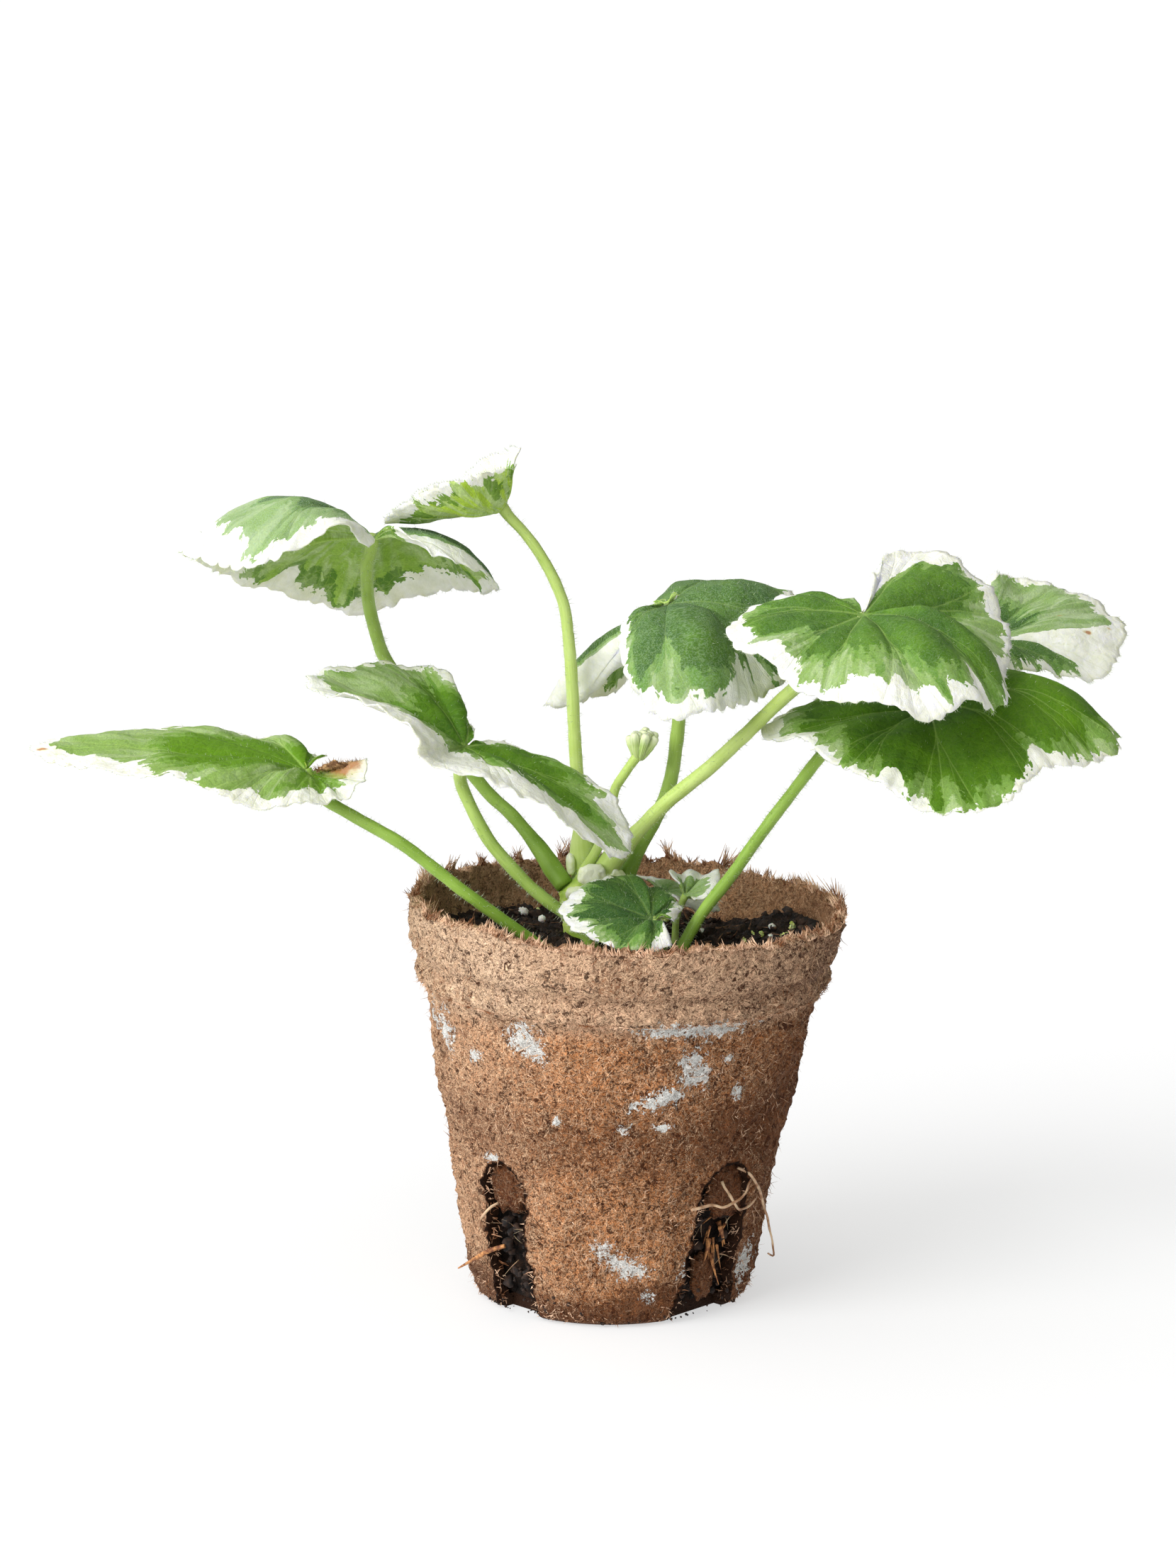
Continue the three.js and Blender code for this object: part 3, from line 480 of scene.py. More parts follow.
def blade_finish():
    """Leaf blade: deep green middle, grey-green patches and a cream margin with jagged edges."""
    f = Finish("leaf_blade")
    vein, rho, reach = f.mark("vein")
    edge, deep, face = f.mark("zone")
    flat_x, flat_y, burn = f.mark("flat")
    fresh, downy, leaf_number = f.mark("mood")
    under = face.step(0.2, -0.2)
    veins = vein_lines(vein, rho, reach)

    flat = f.spot(flat_x, flat_y, leaf_number * 7.3)
    drift = f.noise(flat, 0.09, 2)
    tone = f.noise(flat, 0.35, 3, 0.6)
    velvet = f.noise(flat, 2.6, 2, 0.75)
    down = f.noise(flat, 4.2, 2, 0.7).step(0.42, 0.66)
    cell = f.cells(flat, 0.8)
    small_cell = f.cells(flat, 1.9)
    web = f.net(flat, 0.52)
    fan = f.spot(vein * 4.4, rho * 1.7, leaf_number * 3.7)
    fingers = f.noise(fan, 1.0, 2, 0.5)
    fine_fingers = f.noise(fan, 2.6, 2, 0.6)
    patches = f.noise(fan, 0.9, 2, 0.5, 0.5)
    wash = f.noise(fan, 1.5, 2, 0.5, 0.6)

    jag = (fingers - 0.5) * 10 + (fine_fingers - 0.5) * 3.2 + (cell - 0.5) * 1.5 + (small_cell - 0.5) * 0.6
    cream = (edge + jag).step(-0.1, 0.1)
    jag = (patches - 0.5) * 17 + (cell - 0.5) * 2.2 + (small_cell - 0.5) * 0.9 + (drift - 0.5) * 7 + 0.9
    grey = (deep + jag).step(-0.3, 0.3)
    milky = (deep + jag - 3.2 + (fine_fingers - 0.5) * 5).step(-0.5, 0.5)

    lush = (fresh * 0.75 + (drift - 0.5) * 1.1 + (tone - 0.5) * 0.5).step(-0.1, 1.0)
    above = f.mix(lush, *GREEN_ABOVE)
    # The underside's paler green, with a painted glow of light shining through the blade
    below = f.mix(fresh.step(0.4, 1.2), *GREEN_BELOW)
    below = f.mix(wash.step(0.4, 0.6) * 0.85, below, HAZE_BELOW)
    below = f.mix(cell.step(0.2, 0.9) * 0.3, below, CELLS_BELOW)
    green = f.mix(under * 0.95, above, below)
    dull = f.mix(wash.step(0.38, 0.62), *GREY_GREEN)
    milk = f.mix(wash.step(0.4, 0.62), *MILKY_GREEN)
    pale = f.mix(lush * 0.3, f.mix(milky * 0.9, dull, milk), YOUNG_GREEN)
    leaf = f.mix(grey, green, pale)
    leaf = f.mix(veins * (0.16 + fresh.step(0, 1) * 0.26 + under * 0.34), leaf, VEIN_GREEN)
    leaf = f.mix(web.step(0.07, 0.01) * (0.08 + under * 0.28), leaf, WEB_GREEN)
    leaf = f.scaled(leaf, (velvet - 0.5) * 0.8 + 0.88)
    ivory = f.mix(tone.step(0.3, 0.75), *IVORY)
    leaf = f.mix(cream, leaf, f.mix(veins * 0.2, ivory, IVORY_VEIN))
    burnt = (burn + (tone - 0.5) * 0.8).step(0.42, 0.62)
    leaf = f.mix(burn.step(0.1, 0.5) * 0.5, leaf, SCORCHED)
    leaf = f.mix(burnt * 0.8, leaf, BURNT)
    # Downy upper faces turn grey: the down's own pale colour with a painted blue sky sheen
    leaf = f.mix((down * 0.8 + 0.2) * downy * (1 - cream * 0.8) * (1 - under), leaf, DOWN_AND_SHEEN_GREY)
    height = down * 0.2 + velvet * 0.5 + web.step(0, 0.3) * 0.5 - veins * 0.4 * face + tone * 0.6
    return f.surface(leaf, 0.65, height, 0.15, Subsurface_Weight=0.4, Subsurface_Scale=0.9 * MM,
                     Subsurface_Radius=BLADE_GLOW, Sheen_Weight=0.03, Sheen_Roughness=0.4,
                     Specular_IOR_Level=0.12)


def stalk_finish():
    """Leaf stalk: soft lime green with fine lengthwise streaks, paler where the mark says so."""
    f = Finish("leaf_stalk")
    along, around, pale = f.mark("run")
    line = f.spot(around, along * 0.05, pale * 9)
    streak = f.noise(line, 2.2, 3, 0.6)
    cloud = f.noise(f.place(), 0.16, 2)
    deep = f.mix((streak - 0.5) * 0.8 + cloud, (0.1, 0.23, 0.006), (0.26, 0.45, 0.035))
    light = f.mix((streak - 0.5) * 0.8 + cloud, (0.42, 0.58, 0.09), (0.68, 0.8, 0.32))
    down = f.noise(f.place(), 4.5, 2, 0.7).step(0.55, 0.8)
    # Paleness is partly each stalk's own tone and partly painted light on the brightly lit stalks
    colour = f.mix(pale, deep, light)
    colour = f.mix(down * 0.1, colour, (0.75, 0.82, 0.6))
    return f.surface(colour, 0.5, down * 0.6 + streak * 0.4, 0.06, Subsurface_Weight=0.35,
                     Subsurface_Scale=1.2 * MM, Subsurface_Radius=STEM_GLOW, Sheen_Weight=0.05,
                     Specular_IOR_Level=0.35)


def crown_finish():
    """Crown: yellow-green stem, and translucent cream stipules where the mark says so."""
    f = Finish("crown_scales")
    here = f.place()
    papery, _, _ = f.mark("scale")
    cloud = f.noise(here, 0.3, 3)
    fine = f.noise(here, 1.8, 3, 0.6)
    stem = f.mix(cloud.step(0.35, 0.65), (0.36, 0.54, 0.07), (0.6, 0.73, 0.2))
    scale = f.mix(cloud.step(0.3, 0.6), (0.7, 0.78, 0.42), (0.86, 0.89, 0.7))
    colour = f.mix(papery, stem, scale)
    colour = f.mix(fine.step(0.6, 0.75) * 0.2, colour, (0.45, 0.55, 0.16))
    return f.surface(colour, 0.42, fine, 0.12, Subsurface_Weight=0.5, Subsurface_Scale=1.6 * MM,
                     Subsurface_Radius=STIPULE_GLOW, Specular_IOR_Level=0.5)


def bud_finish():
    """Closed sepals: pale green with darker stripes and light tips."""
    f = Finish("bud_sepals")
    along, around, _ = f.mark("run")
    stripes = f.noise(f.spot(around * 2.4, along * 0.4), 2.0, 2)
    colour = f.mix(stripes.step(0.35, 0.6), (0.3, 0.48, 0.07), (0.6, 0.72, 0.3))
    colour = f.mix(along.step(0.55, 1.0) * 0.85, colour, (0.8, 0.84, 0.6))
    return f.surface(colour, 0.55, stripes, 0.1, Subsurface_Weight=0.35, Subsurface_Scale=MM,
                     Subsurface_Radius=STEM_GLOW, Sheen_Weight=0.3)


def hair_finish():
    """Fine hairs: pale green."""
    f = Finish("plant_hairs")
    light = f.noise(f.place(), 0.2, 2)
    colour = f.mix(light, (0.5, 0.62, 0.34), (0.8, 0.86, 0.68))
    return f.surface(colour, 0.5, Specular_IOR_Level=0.2)


def fibre_layer(f, across, up, turn, length, width, low, high):
    """Short streaks that all lean the same way on a surface measured across and up."""
    cos = math.cos(turn)
    sin = math.sin(turn)
    along = (across * cos + up * sin) * (1 / length)
    beside = (up * cos - across * sin) * (1 / width)
    return f.noise(f.spot(along, beside, turn * 7), 1.0, 1.5, 0.5, 0.8).step(low, high)


FIBRE_LAYERS = 5

# Colours of the pot's fibre; a pair goes from the darker to the lighter
FELT_BROWN = (0.12, 0.034, 0.009), (0.88, 0.375, 0.15)
FELT_TAN = (0.46, 0.215, 0.11), (1.0, 0.7, 0.48)
FELT_INSIDE = (0.62, 0.33, 0.17)
PALE_FIBRE = (1.0, 0.68, 0.43)
DARK_FIBRE = (0.13, 0.04, 0.016)
DARK_SPECK = (0.04, 0.016, 0.01)
DARK_PIT = (0.09, 0.028, 0.012)
# Dark felt of the wetness, also used as painted shade on the right side and under the upper band's step
DAMP_AND_SHADED_FELT = (0.085, 0.022, 0.007)
# Nearly black painted shade on the faces of the slots' cuts
CUT_SHADE_FELT = (0.022, 0.009, 0.005)
CHALK = (0.9, 0.86, 0.79), (1.0, 1.0, 0.96)


def pot_finish():
    """Moulded fibre: brown felt of short pale fibres and dark specks, darker with wetness at the foot, with
    painted shade on the right side, under the upper band's step and on the cuts, and painted light on the
    left side.
    """
    f = Finish("pot_fibre")
    across, up, inside = f.mark("skin")
    bloom, damp_and_shade, light = f.mark("stain_and_shading")
    here = f.place()
    cloud = f.noise(here, 0.11, 3, 0.6)
    felt = f.noise(here, 1.0, 4, 0.8, 0.6)
    grain = f.noise(here, 2.6, 2, 0.7, 0.5)
    blotch = f.noise(here, 0.75, 3, 0.7)
    pale_fibres = 0
    dark_fibres = 0
    for layer in range(FIBRE_LAYERS):
        turn = 0.35 + layer * math.pi / FIBRE_LAYERS
        pale = fibre_layer(f, across + 31 * layer, up, turn, 2.0, 0.2, 0.57, 0.66)
        dark = fibre_layer(f, across, up + 47 * layer, turn + 0.3, 1.0, 0.3, 0.64, 0.7)
        pale_fibres = pale.most(pale_fibres)
        dark_fibres = dark.most(dark_fibres)
    specks = f.cells(here, 0.7).step(0.84, 0.87) * felt.step(0.49, 0.54)
    pits = f.noise(here, 1.3, 2, 0.6).step(0.41, 0.33)

    tone = (felt - 0.5) * 3.2 + (cloud - 0.5) * 2.6 + (grain - 0.5) * 2.6 + 0.6
    brown = f.mix(tone.step(-0.1, 1.1), *FELT_BROWN)
    tan = f.mix(tone.step(-0.3, 1.0), *FELT_TAN)
    # Lightness picks tan over brown: the upper band's own lighter tone, and painted light on the left side
    # of the wall.
    body = f.mix(light, brown, tan)
    body = f.mix(pale_fibres * (0.55 + light * 0.2), body, PALE_FIBRE)
    body = f.mix(dark_fibres * (0.8 - light * 0.3), body, DARK_FIBRE)
    body = f.mix(specks * 0.85, body, DARK_SPECK)
    body = f.mix(pits * 0.7, body, DARK_PIT)
    # Wetness darkens the felt: real at the foot and in the mid band, painted shade on the right side and
    # under the upper band's step.
    wet_and_shaded = (damp_and_shade + (cloud - 0.5) * 1.9 + (felt - 0.5) * 3.4 + (grain - 0.5) * 2.2).step(0.25, 0.85)
    body = f.mix(wet_and_shaded * 0.78, body, DAMP_AND_SHADED_FELT)
    crust = (bloom * 1.4 + (blotch - 0.5) * 4.2 + (felt - 0.5) * 2.2 + (grain - 0.5) * 2.2).step(0.84, 0.9)
    crust = crust * bloom.step(0.04, 0.16)
    chalk = f.mix(grain.step(0.35, 0.55), *CHALK)
    body = f.mix(crust * 0.97, body, chalk)
    body = f.mix(inside.step(0.4, 0.6) * 0.35, body, FELT_INSIDE)
    # Painted shade: the faces of the slots' cuts go nearly black
    body = f.mix(damp_and_shade.step(1.2, 1.6) * 0.94, body, CUT_SHADE_FELT)
    height = felt * 1.4 + grain * 0.7 + pale_fibres * 0.6 - dark_fibres * 0.5 + crust * 0.3 - pits * 0.5
    return f.surface(body, 0.95 - wet_and_shaded * 0.3, height, 0.45, Specular_IOR_Level=0.08)


def fuzz_finish():
    """Loose fibres on the pot."""
    f = Finish("pot_fuzz")
    here = f.place()
    tone = f.noise(here, 0.25, 3, 0.7)
    colour = f.mix(tone.step(0.38, 0.62), (0.26, 0.11, 0.05), (0.88, 0.6, 0.41))
    return f.surface(colour, 0.9, Specular_IOR_Level=0.08)


def soil_finish():
    """Damp peat: nearly black brown with lighter shreds and glints where it is wetter."""
    f = Finish("moist_peat")
    here = f.place()
    coarse = f.noise(here, 0.5, 4, 0.7)
    fine = f.noise(here, 2.6, 3, 0.7)
    colour = f.mix(coarse.step(0.4, 0.72), (0.005, 0.003, 0.002), (0.04, 0.018, 0.009))
    colour = f.mix(fine.step(0.62, 0.72) * 0.4, colour, (0.12, 0.058, 0.028))
    gloss = f.noise(here, 1.2, 2).step(0.5, 0.7)
    return f.surface(colour, 0.85 - gloss * 0.45, coarse + fine * 0.7, 0.5, Specular_IOR_Level=0.25)


def grain_finish(name, dark, light, scale, roughness, translucent=0.0):
    """Small bits: two colours in soft patches."""
    f = Finish(name)
    cloud = f.noise(f.place(), scale, 3, 0.6)
    colour = f.mix(cloud.step(0.35, 0.65), dark, light)
    return f.surface(colour, roughness, cloud, 0.2, Subsurface_Weight=translucent, Subsurface_Scale=MM)


blade_material = blade_finish()
stalk_material = stalk_finish()
crown_material = crown_finish()
bud_material = bud_finish()
hair_material = hair_finish()
pot_material = pot_finish()
fuzz_material = fuzz_finish()
soil_material = soil_finish()
crumb_material = grain_finish("peat_crumb", (0.004, 0.002, 0.0015), (0.04, 0.017, 0.008), 0.7, 0.85)
bark_material = grain_finish("bark_chip", (0.05, 0.02, 0.01), (0.22, 0.11, 0.055), 0.9, 0.85)
perlite_material = grain_finish("perlite", (0.7, 0.68, 0.62), (0.9, 0.89, 0.85), 1.5, 0.7, 0.3)
moss_material = grain_finish("moss", (0.3, 0.38, 0.04), (0.7, 0.72, 0.32), 0.5, 0.7, 0.3)
root_material = grain_finish("root", (0.26, 0.13, 0.06), (0.6, 0.43, 0.27), 0.35, 0.6, 0.2)
straw_material = grain_finish("straw", (0.14, 0.04, 0.012), (0.6, 0.27, 0.09), 0.8, 0.7)
withered_material = grain_finish("withered_edge", (0.14, 0.06, 0.02), (0.55, 0.33, 0.15), 0.8, 0.8)


# Leaves. An outline is a ring of points measured from the hub, counterclockwise seen from above, as
# in the solids: x, y, z, how far the blade bows, and the shares of the way from hub to edge where the
# deep green and the grey-green end. Spots are patches of their own: place along the outline, share
# of the way out, half sizes along and out, and how strongly they are green (above 0) or cream (below
# 0). Burns are brown in the same way. Fresh is how yellow the green is, down how downy the face is,
# relief how high its puffs are. A stalk runs from the hub through its points: its radius at the hub
# and at its foot, how it flares at its foot, and how pale it is at both ends.
LEAVES = {
    "a": {
        "hub": (-43.5, -6, 142.5), "fresh": 0.25, "down": 0.75, "veins": 8, "relief": 1.6,
        "outline": [
            (6, -8, 1.5, 1, 0.5, 0.6), (15, -8, -3.5, 2.5, 0.35, 0.5), (21.5, 0, -8, 4, 0.95, 0.97),
            (21, 14, -12, 5, 0.9, 0.94), (8.5, 27, -14.5, 5, 0.8, 0.9), (-3, 30, -19, 3.5, 0.78, 0.89),
            (-14, 26, -15.5, 3.5, 0.78, 0.88), (-24, 21, -12, 3, 0.88, 0.94),
            (-28.5, 16, -9, 5, 0.5, 0.78), (-34, 2, -3, 8, 0.5, 0.76), (-28.5, -10, -3, 8.5, 0.52, 0.87),
            (-20, -18, -2.5, 8, 0.5, 0.93), (-11, -18, 1, 5, 0.4, 0.82), (-4, -15, 4.5, 1.5, 0.3, 0.6),
            (-1, -10, -0.5, 0.5, 0.3, 0.4),
        ],
        "spots": [
            (5.45, 0.9, 0.12, 0.1, 1), (6.5, 0.86, 0.16, 0.16, -0.8), (2.4, 0.3, 0.6, 0.22, -0.5),
            (9.6, 0.55, 0.3, 0.12, 0.5),
        ],
        "burns": [],
        "stalk": [
            (-43.6, -4.6, 140.5), (-44.5, -2, 136.5), (-44.5, 3, 129.5), (-43, 7, 121.5), (-41, 9, 116.5),
            (-33, 10, 105), (-23.5, 8, 93.5), (-18.5, 6, 89), (-14, 4, 84), (-11, 2, 80),
            (-8.6, 0.2, 76.8),
        ],
        "radius": (1.2, 1.2), "flare": 1.5, "pale": (0.5, 0.1),
    },
    "b": {
        "hub": (-20, -4, 148), "fresh": 1.2, "down": 0.1, "veins": 6, "relief": 1.2,
        "outline": [
            (3.6, 9, 9.2, 0, 0.6, 0.74), (-1, 15, 7.5, -2, 0.58, 0.7), (-8, 13, 3, -2, 0.7, 0.82),
            (-14, 9, 1.5, -2, 0.76, 0.85), (-21, 0, -3, -1, 0.8, 0.88), (-14, -7, 3, -2.6, 0.84, 0.9),
            (-8.5, -10, 6, -3, 0.84, 0.88), (-2, -8, 6.8, -2, 0.9, 0.97), (3, -2, 7.6, 0.2, 0.85, 0.93),
        ],
        "spots": [(6, 0.9, 0.14, 0.1, 0.8)],
        "burns": [],
        "stalk": [
            (-18.6, -3.7, 146), (-15.5, -3, 142.5), (-12.5, -2.5, 138), (-10, -2, 133), (-8.5, -1.5, 128),
            (-7.5, -1, 118), (-7, 0, 107.5), (-6.5, 1, 99), (-5.5, 2, 88.5), (-5, 2.8, 82),
            (-4.6, 3.2, 77.5),
        ],
        "radius": (0.95, 1.3), "flare": 2.3, "pale": (0.75, 1.0),
    },
    "c": {
        "hub": (-26.5, -16, 106), "fresh": 0.7, "down": 0.08, "veins": 9, "relief": 1.0,
        "outline": [
            (1.5, 5, 2, 0, 0.9, 0.95), (-1, 10, 6.5, 1, 0.78, 0.93), (-4.5, 13, 11.5, 1, 0.62, 0.9),
            (-9.5, 15, 11.5, 1, 0.62, 0.95), (-18, 12, 13, 2, 0.55, 0.97), (-28, 4, 12, 1.5, 0.4, 0.9),
            (-24.5, -6, 10.5, 1.2, 0.4, 0.78), (-17, -12, 10.5, 0.8, 0.44, 0.68),
            (-8.5, -20, 6, 0, 0.32, 0.4), (-6.5, -22, 2, -0.4, 0.24, 0.3), (1.5, -23, -1, 0, 0.24, 0.3),
            (12, -20, -5.5, 1.5, 0.54, 0.6), (22.5, -12, -15, 2.4, 0.62, 0.72),
            (28, -6, -19.5, 2, 0.78, 0.92), (30, 0, -16, 1.5, 0.7, 0.9), (27, 4, -10.5, 1, 0.7, 0.86),
            (18, 7, -5.5, 1, 0.74, 0.92), (10, 8, -2.5, 1, 0.72, 0.86), (4, 6, 0, 0, 0.5, 0.6),
        ],
        "spots": [
            (5.9, 0.88, 0.1, 0.05, 0.9), (7.3, 0.6, 0.15, 0.1, 0.9), (14.3, 0.82, 0.25, 0.05, -0.7),
        ],
        "burns": [(6.5, 0.82, 0.08, 0.05)],
        "stalk": [
            (-27, -15.2, 103.8), (-27.5, -14, 101), (-27, -12, 97.5), (-23.5, -12, 90), (-20, -12, 85),
            (-15.5, -12, 80), (-11.5, -12, 76.5), (-8, -12, 74), (-5, -11.8, 71), (-3, -11.5, 66),
            (-2.5, -11.5, 58),
        ],
        "radius": (1.15, 1.2), "flare": 1.1, "pale": (0.7, 0.15),
    },
    "e": {
        "hub": (-55.5, -12, 101), "fresh": 1.3, "down": 0.05, "veins": 9, "relief": 1.3,
        "outline": [
            (3.5, 8, 0.5, 0.5, 0.6, 0.8), (-2, 16, 0, 1.5, 0.6, 0.85), (-6.5, 21, 2, 1.5, 0.45, 0.86),
            (-16.5, 26, 1.5, 1.2, 0.42, 0.85), (-28.5, 26, 3, 1.6, 0.5, 0.82),
            (-38, 20, 2.5, 2.5, 0.5, 0.88), (-49, 8, 3, 2.5, 0.55, 0.95), (-47, 0, 2, 2, 0.55, 0.88),
            (-33.5, -14, 2, 2, 0.68, 0.84), (-20.5, -20, 2, 2, 0.8, 0.96), (-11.5, -22, -1, 2, 0.22, 0.9),
            (-6, -21, -3, 2.5, 0.12, 0.6), (1, -18, -2, 1.5, 0.72, 0.78), (5, -14, -3.5, 0, 0.66, 0.76),
            (9.5, -9, -1.7, -1, 0.5, 0.74), (11.5, -2, 2.2, -1, 0.4, 0.6),
        ],
        "spots": [
            (11, 0.78, 0.42, 0.15, 1.5), (3.5, 0.94, 0.14, 0.05, 0.9), (4.05, 0.92, 0.12, 0.05, 0.9),
            (11.3, 0.4, 0.5, 0.16, -0.5),
        ],
        "burns": [(15, 0.62, 0.5, 0.34), (6.6, 0.97, 0.1, 0.02)],
        "stalk": [
            (-54.6, -12.6, 99.4), (-52.5, -15, 97), (-50, -17, 95.5), (-40.5, -19, 90.5),
            (-36, -19, 87.5), (-31, -19, 83.5), (-26, -19, 79.5), (-21, -18, 75.5), (-16.5, -17, 72),
            (-12.5, -15.8, 68.5), (-9.5, -15, 64.5), (-7.5, -14.8, 58),
        ],
        "radius": (1.08, 1.15), "flare": 1.1, "pale": (0.3, 0.0),
    },
    "f": {
        "hub": (10.2, 0, 129.3), "fresh": 0.35, "down": 0.45, "veins": 10, "relief": 1.3,
        "outline": [
            (-3.6, -2, -0.6, 0.3, 0.6, 0.8), (-8.2, -4.8, -3, 1, 0.84, 0.92),
            (-8.6, -10.5, -7.9, 2, 0.88, 0.95), (-5.6, -17, -13.3, 3.5, 0.88, 0.93),
            (-0.7, -21, -17.3, 5, 0.56, 0.86), (7.8, -20, -15.8, 6, 0.84, 0.9),
            (14.8, -8, -16.3, 6, 0.78, 0.86), (19.8, -2, -14.3, 5, 0.93, 0.98),
            (23.8, 3, -6.8, 4, 0.86, 0.9), (24.3, 10, -1.8, 3, 0.86, 0.9),
            (19.3, 20, -0.8, 2.6, 0.9, 0.96), (10.8, 27, -2.3, 3, 0.9, 0.96),
            (1.3, 29, -5.3, 2.6, 0.82, 0.92), (-5.7, 25, -14.3, 3, 0.88, 0.93),
            (-7.7, 20, -18.3, 3, 0.9, 0.95), (-13.2, 15, -19.8, 3.6, 0.84, 0.9),
            (-21.7, 9, -20.3, 2.8, 0.5, 0.56), (-15.7, 4, -18.3, 1.4, 0.12, 0.16),
            (-7.5, 3.2, -8, 0.6, 0.3, 0.4), (-2.4, 3.3, -0.4, 0, 0.9, 1.1), (0.4, 3.2, 1.5, 0, 0.95, 1.2),
            (2.4, 2.6, 1.3, 0, 0.95, 1.2),
        ],
        "spots": [
            (6.6, 0.8, 0.16, 0.26, -1.5), (4.3, 0.86, 0.2, 0.07, 0.9), (16.7, 0.45, 0.2, 0.3, -1),
            (16.15, 0.62, 0.22, 0.3, 1.3),
        ],
        "burns": [],
        "stalk": [
            (10.6, 0.6, 126.8), (11.8, 3, 119), (12.5, 5, 110.5), (12, 5, 104), (11, 5, 96.5),
            (9, 5, 90.5), (5.5, 4.2, 84), (3.6, 3.6, 80), (1.6, 3, 76.5), (-0.6, 2.2, 73),
        ],
        "radius": (1.2, 1.35), "flare": 1.5, "pale": (0.8, 0.05),
    },
    "g": {
        "hub": (7, -21, 75.5), "fresh": 0.2, "down": 0.22, "veins": 8, "relief": 1.9,
        "outline": [
            (3.5, 0, -1, 0.5, 0.4, 0.5), (5, 5, 0.5, 0.5, 0.7, 0.8), (3, 9, 2.5, 1, 1, 1.15),
            (-1.5, 10, 4.5, 1.5, 1.1, 1.25), (-6, 9, 5.5, 1.5, 1, 1.15), (-9.5, 7, 5, 1, 0.94, 1),
            (-14.5, 4, 3.5, 1, 0.8, 0.92), (-16.5, 1, 1, 1, 0.76, 0.89), (-15, -2, -0.5, 1, 0.78, 0.9),
            (-13.5, -5, -1.5, 1, 0.7, 0.86), (-7.5, -9, -3, 1, 0.86, 0.97),
            (-1.5, -10, -3.5, 1.2, 0.98, 1.05), (3.5, -8, -3.5, 0.8, 0.4, 0.5),
        ],
        "spots": [],
        "burns": [],
        "stalk": [
            (7.4, -19.6, 73.4), (8.4, -16.5, 70.5), (9, -13, 67.5), (8.5, -10, 64), (8, -8.5, 58),
        ],
        "radius": (0.85, 1), "flare": 1.1, "pale": (0.6, 0.3),
    },
    "h": {
        "hub": (45, -13, 129.5), "fresh": 0.6, "down": 0.2, "veins": 10, "relief": 1.3,
        "outline": [
            (-1.5, 12, 0.5, 0, 0.6, 0.8), (-8, 14, 0.5, 1, 0.8, 0.9), (-16, 10, 1, 1.8, 0.84, 0.9),
            (-24, -3, -2, 1.5, 0.86, 0.93), (-22.5, -10, -5, 1, 0.66, 0.88),
            (-17.5, -14, -5.5, 1, 0.66, 0.78), (-13.5, -18, -10, 1.5, 0.72, 0.9),
            (-6.5, -23, -11.5, 2, 0.52, 0.86), (1.5, -25, -11.5, 3, 0.68, 0.86),
            (10.5, -25, -14.5, 3.5, 0.56, 0.8), (17, -21, -12, 4.5, 0.78, 0.87),
            (23, -14, -14.5, 6, 0.96, 0.99), (25.5, -4, -12.5, 7, 0.92, 0.96),
            (26.8, 6, -8, 1.2, 0.66, 0.93), (27.2, 14, -4.6, 0.6, 0.62, 0.9),
            (24.6, 20, 0.4, 1, 0.8, 0.87), (19.4, 23, 5.6, 0.5, 0.84, 0.9), (12, 24, 8.2, 0, 0.5, 0.62),
            (5, 20, 7.6, -0.6, 0.0, 0.05), (2, 11, 4, 0, 0.0, 0.05),
        ],
        "spots": [
            (9.6, 0.9, 0.1, 0.1, 1), (16.7, 0.72, 0.14, 0.14, 0.9), (10.6, 0.82, 0.14, 0.12, -1),
            (8.4, 0.84, 0.14, 0.1, -0.8),
        ],
        "burns": [],
        "stalk": [
            (44.5, -12.2, 127.4), (42.5, -10, 124), (38, -9, 119.5), (32, -8, 114.5), (24.5, -5, 106.5),
            (17.5, -3, 99.5), (10, -2, 93), (3, -1.2, 85.5), (0, -1.4, 82), (-2.2, -1.6, 78.8),
        ],
        "radius": (1.15, 1.4), "flare": 1.6, "pale": (1.0, 0.9),
    },
    "i": {
        "hub": (58, 0, 110), "fresh": 0.75, "down": 0.06, "veins": 9, "relief": 1.3,
        "outline": [
            (-5.5, 13, -1, 1, 0.8, 0.9), (-16.5, 13, -1, 2, 0.84, 0.92), (-27.5, 4, -2.5, 2, 0.76, 0.9),
            (-30.5, -7, -3.5, 1.5, 0.7, 0.87), (-24.5, -12, -3.5, 1, 0.82, 0.92),
            (-20, -19, -5.5, 1.5, 0.88, 0.95), (-12, -24, -8, 2, 0.93, 0.97),
            (-3.5, -28, -13, 3, 0.88, 0.92), (3, -29, -13.5, 3.5, 0.88, 0.95),
            (12, -28, -11.5, 4, 0.94, 0.98), (18.5, -22, -7, 5, 0.9, 0.93),
            (26.5, -17, -7, 7.5, 0.94, 0.98), (33, -10, -6, 9, 0.9, 0.98), (32.5, 3, -4, 8, 0.85, 0.97),
            (26.5, 13, -4, 8, 0.8, 0.92), (17.5, 17, -3, 6, 0.8, 0.92), (6.5, 17, -1, 2, 0.7, 0.85),
        ],
        "spots": [
            (6.35, 0.94, 0.16, 0.06, -1), (7.5, 0.94, 0.2, 0.06, 0.9), (10.1, 0.93, 0.14, 0.07, -0.8),
        ],
        "burns": [],
        "stalk": [
            (56.6, 1.4, 108.6), (53, 4, 107.2), (46, 3, 106), (41, 0, 104), (38, -2, 101.5),
            (32.5, -5, 95), (27, -7, 88), (22, -10, 81.5), (16.5, -13, 75), (13, -15, 69.5),
            (10.5, -16.2, 65), (9, -16.8, 58),
        ],
        "radius": (1.06, 1.12), "flare": 1.1, "pale": (0.4, 0.05),
    },
    "j": {
        "hub": (70, 24, 118.5), "fresh": 0.35, "down": 0.35, "veins": 7, "relief": 1.2,
        "outline": [
